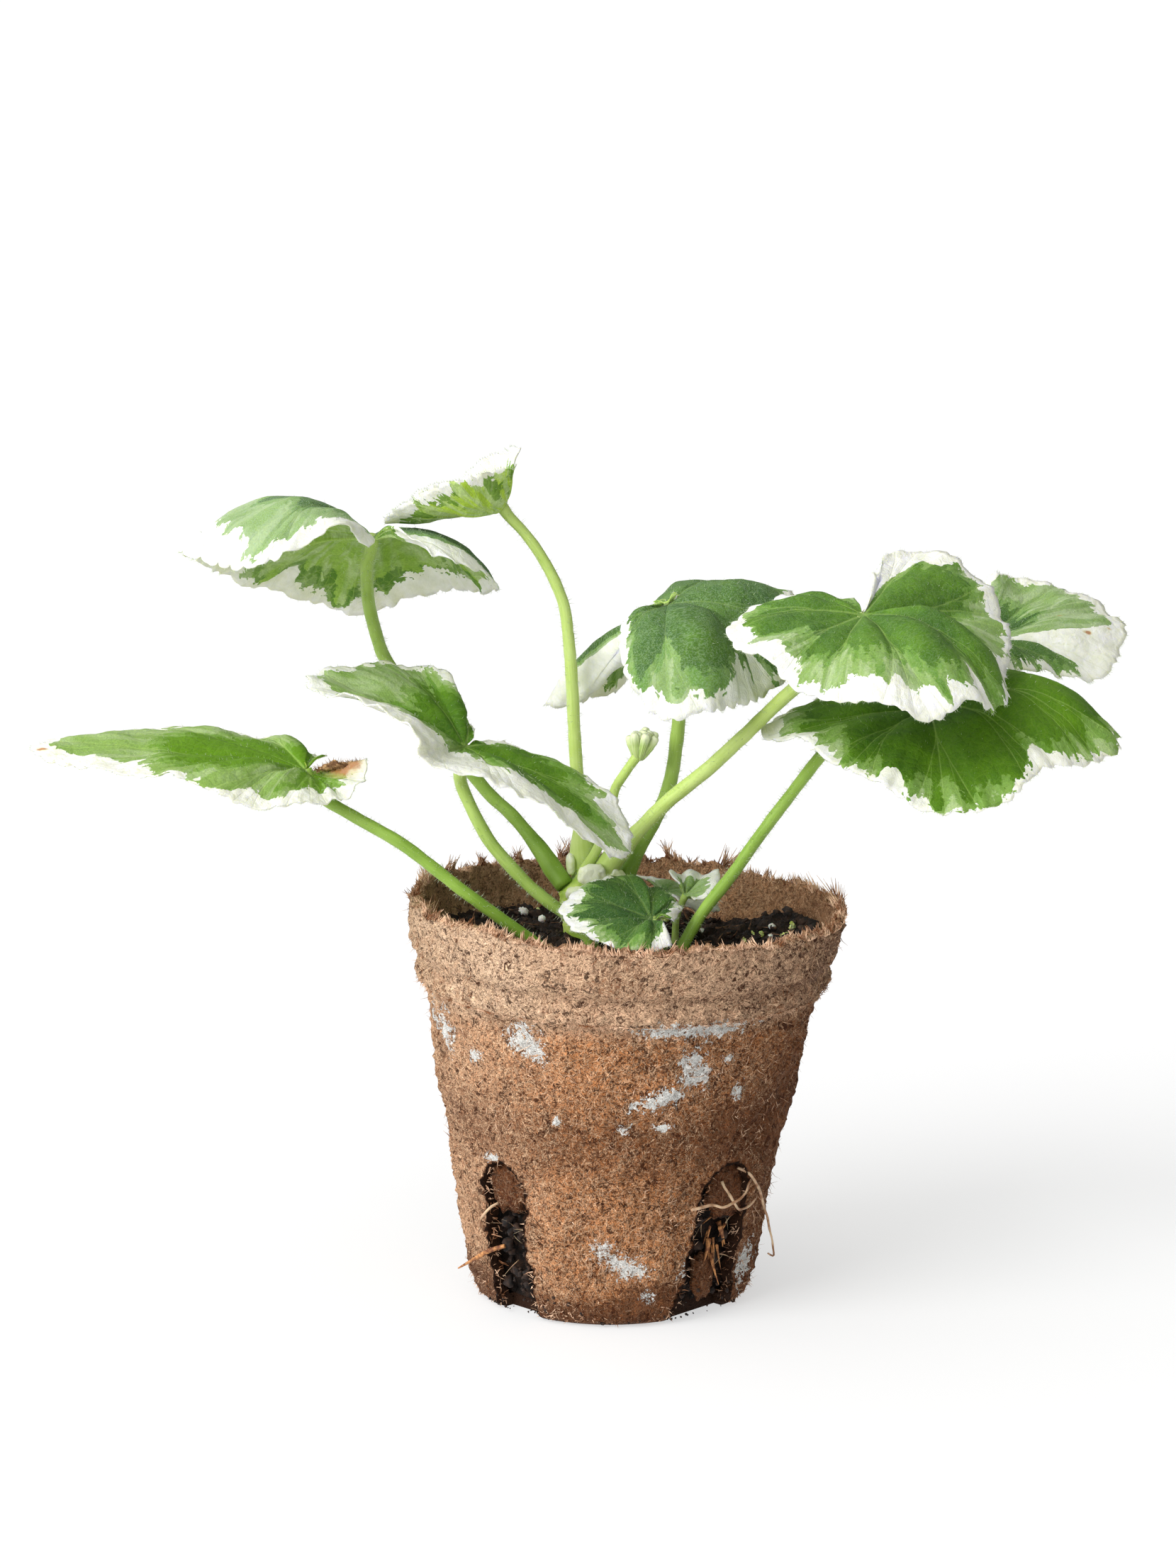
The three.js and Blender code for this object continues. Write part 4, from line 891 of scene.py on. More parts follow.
            (-4, -8, -1, 0, 0.8, 0.9), (2.5, -11, -3, 1, 0.85, 0.93), (11, -8, -4.5, 2, 0.86, 0.93),
            (20, -3, -7, 2.5, 0.8, 0.88), (24, 1, -4.5, 3, 0.12, 0.2), (27, 10, 0, 3, 0.2, 0.84),
            (23.5, 17, 4, 2, 0.3, 0.9), (16.5, 20, 6.5, 1.5, 0.45, 0.95), (8.5, 19, 8.5, 1, 0.55, 0.96),
            (2, 15, 9.5, 0, 0.5, 0.9), (-1.5, 10, 3, 0, 0.4, 0.6),
        ],
        "spots": [(5.3, 0.76, 0.3, 0.1, 0.6), (3.6, 0.5, 0.35, 0.3, -1.2)],
        "burns": [(4.6, 0.72, 0.07, 0.03), (5.6, 0.56, 0.04, 0.02), (4.9, 0.86, 0.04, 0.015)],
        "stalk": [
            (69.7, 25.2, 116.4), (69, 28.5, 111.5), (62.5, 28.5, 105.5), (53, 22.5, 102.8),
            (46.9, 17.5, 102.4), (41.6, 10.8, 101.7), (38.3, 4.9, 100), (32.8, 0.2, 94.1),
            (27.3, -2.9, 87.1), (22.1, -5.9, 80.6), (16.6, -8.9, 74.1), (13.1, -10.9, 68.6),
            (10.8, -12.4, 64.5), (9.4, -13.2, 58),
        ],
        "radius": (0.95, 1.0), "flare": 1.1, "pale": (0.5, 0.1),
    },
    "k": {
        "hub": (13.5, -4, 76), "fresh": 1.2, "down": 0.6, "veins": 5, "relief": 2.0,
        "outline": [
            (1.5, -3.4, -0.2, 0, -0.6, 0.7), (4.6, -2.5, 0.8, -0.3, -0.6, 0.7),
            (6.2, 2.5, 2, 0.2, -0.6, 0.7), (6, 6.5, 3.4, 0.4, -0.6, 0.6), (3.6, 8, 2, -0.8, -0.6, 0.75),
            (1.2, 7.5, 3.2, 0.3, -0.6, 0.6), (-1, 6, 2.2, -0.5, -0.6, 0.75),
            (-2.8, 3, 4.2, 0.2, -0.6, 0.6), (-2.2, 0.5, 2.6, 0, -0.6, 0.7),
        ],
        "spots": [],
        "burns": [],
        "stalk": [(12.8, -4, 74.6), (11.9, -4, 72), (11.6, -4, 68), (11.5, -4, 58)],
        "radius": (0.6, 0.75), "flare": 1.1, "pale": (0.6, 0.6),
    },
    "l": {
        "hub": (9.5, 6, 74.5), "fresh": 0.3, "down": 0.6, "veins": 4, "relief": 1.5,
        "outline": [
            (2.5, -8, 0, 0, 0.05, 0.5), (6.5, -6, -2.5, 0.5, 0.05, 0.5), (10.5, 2, -4, 0.5, 0.05, 0.5),
            (7.5, 8, -2.5, 0.5, 0.1, 0.7), (1, 10, -0.5, 0.5, 0.1, 0.7), (-5, 6, 1.5, 0, 0.05, 0.6),
        ],
        "spots": [],
        "burns": [],
        "stalk": [(9.2, 5.2, 73), (8.2, 4, 70.5), (7.6, 3.4, 66), (7.4, 3.2, 58)],
        "radius": (0.6, 0.75), "flare": 1.1, "pale": (0.8, 0.8),
    },
}

# Blades. Where the longest ray is shorter than the full size, there is less relief. A full spot moves
# the edges of the colours by its reach.
BLADE_HALF = 0.2
FULL_SIZE = 22
SPOT_REACH = 9
TOOTH_WIDTH = 4.0
TOOTH_DEPTH = 0.7
TOOTH_WOBBLE = 0.22
COLUMNS_A_TOOTH = 8
ROW_SPACING = 1.08
RUFFLE_LENGTH = 10.5
RUFFLE_HEIGHT = 0.4
CRIMP_HEIGHT = 0.12
PUFF_HEIGHT = 0.6
GROOVE_DEPTH = 0.16
GROOVE_WIDTH = 0.55
RIDGE_HEIGHT = 0.3
RIDGE_WIDTH = 0.42
EDGE_THINNING = 0.45
EDGE_STEP = 0.1
OUTLINE_STEPS = 1200


class Fan:
    """Middle surface of a blade: rays from its hub to its outline, as in the solids."""

    def __init__(self, leaf):
        self.hub = np.array(leaf["hub"], float)
        self.rows = np.array(leaf["outline"], float)
        self.last = len(self.rows) - 1
        edge = self.rows[:, :3]
        self.up = unit(np.cross(edge[:-1], edge[1:]).sum(0))

    def edge(self, places):
        """Rays from the hub to places along the outline."""
        return smooth(self.rows[:, :3], np.clip(places, 0, self.last))

    def lift(self, places):
        """Direction in which the blade bows, for each place along the outline."""
        turned = np.cross(self.edge(places - EDGE_STEP), self.edge(places + EDGE_STEP))
        return unit(unit(turned) + self.up)

    def columns(self, tooth_width):
        """Places along the outline at even distances, and how far along it each one is."""
        fine = np.linspace(0, self.last, OUTLINE_STEPS)
        reach = distances(self.edge(fine))
        count = max(8, round(reach[-1] / tooth_width)) * COLUMNS_A_TOOTH
        along = np.linspace(0, reach[-1], count + 1)
        return np.interp(along, reach, fine), along

    def flat_angles(self, places):
        """Angle of each ray when the blade is rolled out flat."""
        rays = unit(self.edge(places))
        steps = np.arccos(np.clip((rays[:-1] * rays[1:]).sum(-1), -1, 1))
        return np.concatenate([[0], np.cumsum(steps)])


def bump_at(places, rho, place, where, half_place, half_where):
    """A soft spot on a blade, 1 in its middle."""
    return np.exp(-(((places[None] - place) / half_place) ** 2) - ((rho - where) / half_where) ** 2)


def teeth(along, wobble):
    """Rounded teeth of an edge, with smaller ones on them."""
    large = np.abs(np.sin(math.pi * (along / TOOTH_WIDTH + wobble))) ** 0.7 - 0.6
    return large + np.abs(np.sin(math.pi * along / (0.42 * TOOTH_WIDTH) + wobble * 3)) * 0.1


def ruffles(along, wobble, rho, seed):
    """Waves of a blade's outer part, and finer ones close to its edge."""
    wave = np.sin(2 * math.pi * along / RUFFLE_LENGTH + ripple(along[:, None], 25, seed) * 2)
    crimp = np.sin(2 * math.pi * (along / TOOTH_WIDTH + wobble))
    return RUFFLE_HEIGHT * wave[None] * rho**5 + CRIMP_HEIGHT * crimp[None] * rho**10


def blade_parts(name, leaf):
    """Grid of a blade: its middle surface with folds and teeth, and the marks that its finish reads."""
    seed = ord(name)
    fan = Fan(leaf)
    places, along = fan.columns(TOOTH_WIDTH)
    row = smooth(fan.rows, places)
    rays, bow, deep_share, green_share = row[:, :3], row[:, 3], row[:, 4], row[:, 5]
    radius = np.linalg.norm(rays, axis=1)
    angles = fan.flat_angles(places)
    size = min(1.0, radius.max() / FULL_SIZE)
    relief = size * leaf["relief"]

    rows = max(10, round(radius.max() / ROW_SPACING))
    share = (np.arange(1, rows + 1) / rows)[:, None] ** 0.9
    inner = size * fade(0, 2.5, along) * fade(0, 2.5, along[-1] - along)
    wobble = ripple(along[:, None], 9, seed) * TOOTH_WOBBLE
    scallop = inner * TOOTH_DEPTH * teeth(along, wobble) / np.maximum(radius, 4)
    rho = share * (1 + scallop[None] * share**5)

    vein = angles / angles[-1] * leaf["veins"] - 0.5
    vein = vein + ripple(vein[:, None], 2.2, seed + 1) * 0.12
    gap = (angles[-1] / leaf["veins"]) * rho * radius[None]
    away = np.abs(vein - np.round(vein))[None]
    fork = np.maximum(rho - FORK_START, 0) * FORK_SPREAD
    furrow = np.minimum(away * gap, np.where(rho > 0.4, np.abs(away - fork) * gap, 99))

    middle = fan.hub + rho[..., None] * rays[None]
    middle = middle + (4 * rho * (1 - rho) * bow[None])[..., None] * fan.lift(places)[None]
    normal = unit(np.cross(np.gradient(middle, axis=0), np.gradient(middle, axis=1)))
    puff = PUFF_HEIGHT * np.sin(math.pi * np.clip(away, 0, 0.5)) ** 1.4 * fade(0.08, 0.5, rho)
    puff = puff * (1 - 0.35 * fade(0.75, 1.0, rho))
    groove = GROOVE_DEPTH * np.exp(-((furrow / GROOVE_WIDTH) ** 2)) * (1 - 0.5 * rho)
    offset = relief * (puff - groove) + inner[None] * ruffles(along, wobble, rho, seed + 2)
    offset = offset + 0.3 * size * ripple(middle, 9, seed + 3) * fade(0.1, 0.5, rho)
    offset = offset + 0.06 * ripple(middle, 2.4, seed + 4) * fade(0.1, 0.3, rho)
    middle = middle + offset[..., None] * normal
    ridge = RIDGE_HEIGHT * size * np.exp(-((furrow / RIDGE_WIDTH) ** 2)) * (1 - 0.75 * rho)

    out = rho * radius[None]
    green = sum((spot[-1] * bump_at(places, rho, *spot[:-1]) for spot in leaf["spots"]), 0 * rho)
    burn = sum((bump_at(places, rho, *spot) for spot in leaf["burns"]), 0 * rho)
    past_green = (rho - green_share[None]) * radius[None] / size - SPOT_REACH * green
    past_deep = (rho - deep_share[None]) * radius[None] / size - SPOT_REACH * green
    marks = {"vein": np.stack([np.broadcast_to(vein, rho.shape), rho, gap], -1),
             "zone": np.stack([past_green, past_deep, np.ones_like(rho)], -1),
             "flat": np.stack([out * np.cos(angles), out * np.sin(angles), burn], -1)}
    return {"fan": fan, "middle": middle, "normal": normal, "ridge": ridge, "marks": marks}


def make_blade(name, leaf, parts):
    """Closed thin blade: a top face, an underside with raised veins, and the strips that join them."""
    fan, middle, normal, ridge = (parts[key] for key in ("fan", "middle", "normal", "ridge"))
    rows, columns = middle.shape[:2]
    half = BLADE_HALF * (1 - EDGE_THINNING * fade(0.8, 1, parts["marks"]["vein"][..., 1]))
    at_hub = {"vein": (0, 0, 0), "zone": (-9, -9, 1), "flat": (0, 0, 0)}
    points = []
    marks = {key: [] for key in (*at_hub, "mood")}
    for face, thick in ((1, half), (-1, half + ridge)):
        points += [[fan.hub + face * BLADE_HALF * fan.up],
                   (middle + face * thick[..., None] * normal).reshape(-1, 3)]
        turn_over = {"zone": (1, 1, face)}
        for key, value in at_hub.items():
            whole = np.vstack([[value], parts["marks"][key].reshape(-1, 3)])
            marks[key].append(whole * turn_over.get(key, 1))
        mood = (leaf["fresh"], leaf["down"], ord(name))
        marks["mood"].append(np.broadcast_to(np.array(mood, float), (1 + rows * columns, 3)))
    under = 1 + rows * columns
    turn = np.arange(columns - 1)
    rim = 1 + (rows - 1) * columns + turn
    climb = 1 + np.arange(rows - 1) * columns
    side = np.stack([climb, under + climb, under + climb + columns, climb + columns], -1)
    quads = [grid_quads(rows, columns, 1)[:, ::-1], grid_quads(rows, columns, 1 + under),
             np.stack([rim, under + rim, under + rim + 1, rim + 1], -1),
             side, (side + columns - 1)[:, ::-1]]
    hub = np.zeros_like(turn)
    tris = [np.stack([hub, 1 + turn, 2 + turn], -1),
            np.stack([hub + under, under + 2 + turn, under + 1 + turn], -1),
            [[0, under, under + 1], [0, under + 1, 1],
             [0, columns, under + columns], [0, under + columns, under]]]
    marks = {key: np.vstack(values) for key, values in marks.items()}
    body = np.vstack(points), np.vstack(quads), np.vstack(tris)
    make_piece(f"blade_{name}", body, blade_material, [f"leaf_{name}"], marks)


# Stalks. They are thicker by the swell right under their blade.
STALK_AROUND = 18
STALK_STEP = 0.9
STALK_SWELL = 1.15
SWELL_SHARE = 0.03


def make_stalk(name, route, radii, pale, replaced, flare=1.0):
    """Stalk along a route, a little thicker at the blade, and flared where it joins the crown."""
    path = even_path(route, STALK_STEP)
    share = np.linspace(0, 1, len(path))
    radius = radii[0] + (radii[1] - radii[0]) * share
    radius = radius * (1 + (STALK_SWELL - 1) * np.exp(-((share / SWELL_SHARE) ** 2)))
    radius = radius * (1 + (flare - 1) * fade(0.82, 0.95, share))
    body = bumpy_tube(path, radius, STALK_AROUND, (0.035, 5, len(name) + ord(name[-1])), (0.02, 1.6, 5))
    along = (share * (len(path) - 1) * STALK_STEP)[:, None]
    paleness = (pale[0] + (pale[1] - pale[0]) * share)[:, None]
    run = np.stack(np.broadcast_arrays(along, 2 * np.sin(turns(STALK_AROUND)), paleness), -1).reshape(-1, 3)
    run = np.vstack([run, run[0], run[-1]])
    make_piece(name, body, stalk_material, replaced, {"run": run})


# Stalk of the bud: its route and its radius at the bud and at its foot
BUD_STALK = [(4.6, -0.4, 101.4), (2, 0, 97.5), (0.4, 0.4, 94.5), (-0.8, 0, 88.5), (-3, -1.2, 83.5),
             (-5.3, -2.4, 80.2), (-5.6, -2.6, 78.6)]
BUD_STALK_RADII = (0.85, 0.95)

# Fine hairs on stalks and along the edges of blades
HAIR_WIDTH = 0.07
STALK_HAIR_LENGTHS = (0.4, 1.1)
BLADE_HAIR_LENGTHS = (0.3, 0.75)
HAIRS_PER_MM = 9
BLADE_HAIRS = 850
SMALL_BLADE_HAIRS = 500
HAIRLESS = "kl"


def stalk_hairs(route, radii, seed):
    """Hairs that stand off a stalk all round."""
    draw = np.random.default_rng(seed)
    path = even_path(route, 0.5)
    side, other = sides_of(path)
    count = int(HAIRS_PER_MM * 0.5 * len(path))
    pick = draw.integers(1, len(path) - 1, count)
    angle = any_angles(draw, (count, 1))
    out = np.cos(angle) * side[pick] + np.sin(angle) * other[pick]
    radius = radii[0] + (radii[1] - radii[0]) * pick / len(path)
    roots = path[pick] + out * radius[:, None] * 0.97 + draw.normal(scale=0.075, size=(count, 3))
    lengths = draw.uniform(*STALK_HAIR_LENGTHS, count)
    aims = out + draw.normal(scale=0.25, size=(count, 3))
    return strands(roots, aims, lengths, HAIR_WIDTH, 0.2, seed, 1)


def blade_hairs(parts, count, seed):
    """Hairs that stand out of a blade's edge and, fewer, off its face."""
    draw = np.random.default_rng(seed)
    middle, normal = parts["middle"], parts["normal"]
    rows, columns = middle.shape[:2]
    outward = unit(np.gradient(middle, axis=0))
    at_edge = int(count * 0.6)
    row = np.concatenate([np.full(at_edge, rows - 1), draw.integers(rows // 5, rows, count - at_edge)])
    column = draw.integers(0, columns, count)
    here, up, out = middle[row, column], normal[row, column], outward[row, column]
    face = draw.choice([1.0, 1.0, -1.0], count)[:, None]
    edge = (row == rows - 1)[:, None]
    aim = np.where(edge, out + 0.5 * face * up, face * up + 0.35 * out)
    roots = here + np.where(edge, 0.0, face * BLADE_HALF) * up
    aim = aim + draw.normal(scale=0.25, size=(count, 3))
    return strands(roots, aim, draw.uniform(*BLADE_HAIR_LENGTHS, count), HAIR_WIDTH, 0.25, seed, 1)


# Crown
CROWN = {"x": -4.4, "y": 0.5, "foot": 58, "top": 77, "radius": 4.4}
CROWN_AROUND = 48
# Rounded stipules on the crown: centre, half sizes, and a turn about the upright in degrees
STIPULES = [
    ((-3.6, -4.4, 80.0), (2.6, 1.1, 1.9), 8), ((-5.6, -4.9, 76.4), (3.0, 1.2, 1.5), -6),
    ((-7.6, 1.2, 80.8), (0.8, 1.6, 2.0), 10), ((0.6, -2.6, 77.6), (2.4, 1.2, 3.0), 35),
    ((-1.2, -5.2, 74.4), (2.2, 1.1, 2.0), 12), ((-4, 5.4, 79), (2.6, 1.1, 1.9), 0),
    ((-9, 3, 76.5), (1.1, 2.4, 2), 15),
]


def make_crown():
    """Short thick stem that the stalks grow from, with soft pale stipules round its top."""
    x, y, foot, top = (CROWN[key] for key in ("x", "y", "foot", "top"))
    path = even_path([(x + 0.6, y, foot), (x + 0.2, y, 66), (x, y, 72), (x, y, top + 2)], 0.6)
    share = np.linspace(0, 1, len(path))
    radius = CROWN["radius"] + 0.8 * fade(0.4, 0.9, share) - 3.0 * fade(0.8, 1.0, share) ** 2
    bodies = [bumpy_tube(path, radius, CROWN_AROUND, (0.06, 4, 3), (0.025, 1.5, 4))]
    for number, (centre, sizes, degrees) in enumerate(STIPULES):
        layers = (0.07, 1.6, 150 + number), (0.03, 0.7, 160 + number)
        bodies.append(soft_block(centre, sizes, math.radians(degrees), 0.82, *layers)[0])
    papery = np.repeat([0, 1], [len(bodies[0][0]), sum(len(body[0]) for body in bodies[1:])])
    marks = {"scale": np.stack([papery, 0 * papery, 0 * papery], -1)}
    make_piece("crown_stem", joined(bodies), crown_material, ["crown"], marks)


# Bud head: rings of closed sepals, each ring's share of the radius and how many stand in it
BUD_FOOT = np.array([5.1, -0.4, 100.6])
BUD_HEIGHT = 5.6
BUD_RADIUS = 1.75
SEPAL_RINGS = [(1.0, 7), (0.55, 5), (0.1, 1)]
SEPAL_AROUND = 20


def make_bud():
    """Closed sepals that stand together and flare towards their round tips."""
    bodies = []
    runs = []
    around = turns(SEPAL_AROUND)
    for ring, count in SEPAL_RINGS:
        for i in range(count):
            angle = 2 * math.pi * (i + 0.5 * ring) / count
            out = ring * BUD_RADIUS * directions(angle)[0]
            tall = BUD_HEIGHT * (0.9 + 0.1 * math.sin(5 * angle + 1) + 0.03 * (1 - ring))
            steps = [(0.2, 0, 0), (0.62, 0.05, 0.28), (1.05, 0.3, 0.62), (1.5, 0.6, 1)]
            route = [BUD_FOOT + spread * out + (sway, 0, rise * tall) for spread, sway, rise in steps]
            path = even_path(route, 0.2)
            share = np.linspace(0, 1, len(path))
            girth = (0.45 + 0.55 * share) * np.sqrt(np.clip(1 - ((share - 0.5) / 0.52) ** 4, 0.02, 1))
            uneven = 0.05 * ripple(path[:, None] + 0 * around[:, None], 1.2, 170 + i)
            ridges = 1 + 0.06 * np.cos(6 * around) + uneven
            bodies.append(closed_tube(path, girth[:, None] * ridges, SEPAL_AROUND))
            place = np.cos(around) + 2 * angle
            run = np.stack(np.broadcast_arrays(share[:, None], place, ring), -1).reshape(-1, 3)
            runs.append(np.vstack([run, [0, 0, ring], [1, 0, ring]]))
    marks = {"run": np.vstack(runs)}
    make_piece("bud_sepals", joined(bodies), bud_material, ["bud_head"], marks)


# Pot, as in the solids: a turned shape, leaned and pressed out of round, with a ragged rim
POT_HEIGHT = 74
RIM_RADIUS = 40
WAIST_RADIUS = 35.7
BELLY_RADIUS = 30.4
FOOT_RADIUS = 24
WALL = 2.3
FLOOR = 2.4
LEAN_PER_MM = 0.04
RIM_TILT_PER_MM = 0.00055
OUT_OF_ROUND = 0.5
RIM_RAGGED = 0.8
# Corners of the wall, outside from the foot up and inside from the rim down: radius and height
OUTER_PROFILE = [
    (FOOT_RADIUS - 1, 0), (FOOT_RADIUS + 1.2, 1), (FOOT_RADIUS + 1.9, 4), (BELLY_RADIUS, 30),
    (WAIST_RADIUS, 58.6), (37.4, 59.5), (37.7, 61), (37.0, 64.0), (38.7, 65.4), (39, 68),
    (RIM_RADIUS - 0.2, POT_HEIGHT - 0.6),
]
INNER_PROFILE = [
    (RIM_RADIUS - WALL, POT_HEIGHT), (RIM_RADIUS - WALL - 0.9, 68), (WAIST_RADIUS - WALL, 58),
    (BELLY_RADIUS - WALL, 30), (FOOT_RADIUS - 0.6, 4.4), (FOOT_RADIUS - 1.6, FLOOR),
]
SLOT_WIDTH = 9.6
SLOT_TOP = 30
SLOT_BACK = 20.6
SLOT_FRONT = 46
SLOT_POINTS = 40
SLOT_ANGLES = (-135.5, -43.5, 44, 136)
# Each slot is off its plain outline, along the wall: at the top, and its two sides at the foot
SLOT_SHIFTS = ((1.3, -0.3, 0.2), (-0.8, -4.2, 0.6), (0.5, -0.6, 0.8), (-0.4, 0.3, 1))
POT_AROUND = 430
POT_STEP = 0.66
POT_INNER_STEP = 1.6

# Felt of the wall: height, wavelength and seed of each layer of bumps
FELT = ((0.2, 2.6, 31), (0.16, 1.4, 32), (0.35, 12, 33))

# Painted shade darkens one side of the wall, centred at this many degrees from +X; wetness and painted
# shade stay under the limit everywhere but on the cuts
SHADED_SIDE = -8
DAMP_AND_SHADE_LIMIT = 1.15
# The cuts' faces go past the limit: nearly black painted shade in the slots
CUT_SHADE = 1.6

# Pale mineral crust on the wall: degrees from +X, height, half width across and half height
CRUST = [
    (-121, 55.4, 3.4, 3.2), (-117, 53, 2, 2), (-140, 50, 2.2, 1.2), (-156, 52.5, 2, 4),
    (-164, 54, 2, 3), (-76, 58.5, 6, 1.4), (-60, 58, 6, 1.6), (-68, 51.8, 2.6, 3.2),
    (-65, 48.8, 3, 1.8), (-74.5, 45.8, 3.4, 1.6), (-81, 43.9, 3.2, 1.4), (-88, 39.4, 1.6, 1),
    (-76, 39.5, 1.8, 0.9), (-55.5, 52, 1.2, 1), (-50, 45, 1.4, 1.6), (-110, 40.4, 1.4, 0.8),
    (-94, 15.6, 2, 1.6), (-88, 13.4, 3, 1.4), (-82, 11.2, 3.6, 1.8), (-75.5, 6, 1.6, 1),
    (-61, 10.8, 1.6, 2), (-25, 8, 3, 4), (-138, 30.6, 2.6, 0.8), (-128, 24, 1.2, 0.9), (60, 40, 4, 5),
    (95, 52, 5, 3), (120, 22, 4, 4), (160, 40, 3, 5), (20, 12, 4, 3),
]


def pot_place(radius, angle, height):
    """A point of the turned shape, leaned and pressed out of round."""
    round_off = 1 + (OUT_OF_ROUND / RIM_RADIUS) * np.cos(2 * angle + 0.6)
    x = radius * round_off * np.cos(angle)
    y = radius * np.sin(angle) / round_off
    high = height / POT_HEIGHT
    tilt = 1 - RIM_TILT_PER_MM * x * high * high
    return np.stack([x + LEAN_PER_MM * height * high, y, height * tilt], -1)


def rim_height(angle):
    """How far the ragged rim stands above its mean height."""
    coarse = np.sin(5 * angle + 0.7) + 0.7 * np.sin(11 * angle + 2.1)
    return RIM_RAGGED * (0.45 * coarse + 0.5 * np.sin(27 * angle) * np.sin(3 * angle + 1))


def fine_profile(rows, step):
    """A profile with a point every step or so."""
    rows = np.array(rows, float)
    reach = distances(rows)
    places = np.linspace(0, reach[-1], round(reach[-1] / step) + 1)
    return np.stack([np.interp(places, reach, rows[:, k]) for k in range(2)], -1)


def rounded(profile, passes):
    """Softens the corners of a fine profile, keeping its ends."""
    soft = profile.copy()
    for _ in range(passes):
        soft[1:-1] = 0.25 * soft[:-2] + 0.5 * soft[1:-1] + 0.25 * soft[2:]
    return soft


def wall_radius(profile, height):
    """Radius of the outside or the inside of the wall."""
    rows = np.array(sorted(profile, key=lambda row: row[1]), float)
    return np.interp(height, rows[:, 1], rows[:, 0])


def pot_stains_and_shading(angles, radius, height, outside):
    """Crust, wetness with painted shade on the right side and under the upper band's step, and lightness
    with painted light on the left side of the wall, which its finish reads.
    """
    bloom = np.zeros(np.broadcast(angles, height).shape)
    for degrees, level, half_across, half_up in CRUST:
        across = angle_gap(angles, degrees) * radius / half_across
        bloom += np.exp(-(across**2) - ((height - level) / half_up) ** 2)
    # Painted shade: the right side of the wall, away from the key light, is darker.
    shade = 0.75 * np.exp(-((angle_gap(angles, SHADED_SIDE) / 0.8) ** 2))
    foot = 1.25 - 1.25 * fade(2, 11, height + 2 * np.sin(3 * angles + 1))
    # A darker band of the wall at mid height, and a narrow painted shadow under the upper band's
    # overhanging step.
    belt_and_ledge_shade = 0.5 * np.exp(-(((height - 36) / 8) ** 2)) + 0.25 * np.exp(-(((height - 64.4) / 0.9) ** 2))
    damp_and_shade = np.minimum(foot + belt_and_ledge_shade + shade, DAMP_AND_SHADE_LIMIT)
    # The upper band is a lighter tan; the left side of the wall, towards the key light, is lighter by
    # painted light.
    light = fade(55, 60, height) * np.where(outside, 0.75, 0.3) + 0.45 * fade(0.1, 1, -np.cos(angles))
    return np.stack([np.clip(bloom, 0, 1) * outside, damp_and_shade, np.clip(light, 0, 1)], -1)


def make_pot():
    """Wall and floor of the pot: felted, with a torn rim and four slots."""
    outer = rounded(fine_profile(OUTER_PROFILE, POT_STEP), 2)
    inner = rounded(fine_profile(INNER_PROFILE, POT_INNER_STEP), 1)
    profile = np.vstack([outer, inner])
    radius, height = profile[:, :1], profile[:, 1:]
    angles = turns(POT_AROUND)[None]
    outside = np.arange(len(profile))[:, None] < len(outer)

    along_rim = angles.T * RIM_RADIUS
    torn = 0.45 * np.abs(ripple(along_rim, 1.1, 21)) + 0.25 * ripple(along_rim, 3.4, 22)
    near_rim = fade(POT_HEIGHT - 5, POT_HEIGHT, height)
    base = pot_place(radius, angles, height + near_rim * (rim_height(angles) + torn - 0.3))
    felt = ripples(base, *FELT)
    felt = felt + 0.1 * np.random.default_rng(34).normal(size=felt.shape).clip(-2, 2)
    frayed = fade(57.5, 59, height) * (1 - fade(60.5, 62, height))
    felt = felt + frayed * 0.3 * ripple(base, 1.7, 35)
    strength = fade(0.0, 2.0, height) * np.where(outside, 1.0, 0.8)
    rings = base + (strength * felt)[..., None] * directions(angles)[0]

    ends = [pot_place(0, 0, level) for level in (0, FLOOR)]
    skin = np.stack(np.broadcast_arrays(angles * 34, height, np.where(outside, 0.0, 1.0)), -1)
    stain_and_shading = pot_stains_and_shading(angles, radius, height, outside)
    marks = {"skin": np.vstack([skin.reshape(-1, 3), [0, 0, 0], [0, 0, 1]]),
             "stain_and_shading": np.vstack([stain_and_shading.reshape(-1, 3), [0, 1, 0], [0, 1, 0]])}
    pot = make_piece("pot_wall", closed_rings(rings, *ends), pot_material, ["pot"], marks)
    cut_slots(pot)


def slot_shift(number, height, right):
    """How far a side of a slot is off its plain outline, along the wall, for one place or many."""
    top, left_foot, right_foot = np.moveaxis(np.array(SLOT_SHIFTS)[number], -1, 0)
    share = np.clip(height / SLOT_TOP, 0, 1)
    return top * share + np.where(right, right_foot, left_foot) * (1 - share)


def slot_outline(number):
    """Ragged outline of a slot: places along the wall and heights."""
    half = SLOT_WIDTH / 2
    rise = np.linspace(-2, SLOT_TOP - half, SLOT_POINTS)
    arc = np.linspace(0, math.pi, SLOT_POINTS // 2 + 2)[1:-1]
    outline = np.vstack([np.stack([np.full(SLOT_POINTS, -half), rise[::-1]], -1),
                         np.stack([np.full(SLOT_POINTS, half), rise], -1),
                         np.stack([half * np.cos(arc), SLOT_TOP - half + half * np.sin(arc)], -1)])
    ragged = ripples(outline, (0.28, 1.8, 50 + number), (0.25, 6, 60 + number))
    outline[:, 0] *= 1 + ragged / half * (outline[:, 1] > 0)
    outline[:, 0] += slot_shift(number, outline[:, 1], outline[:, 0] > 0)
    return outline


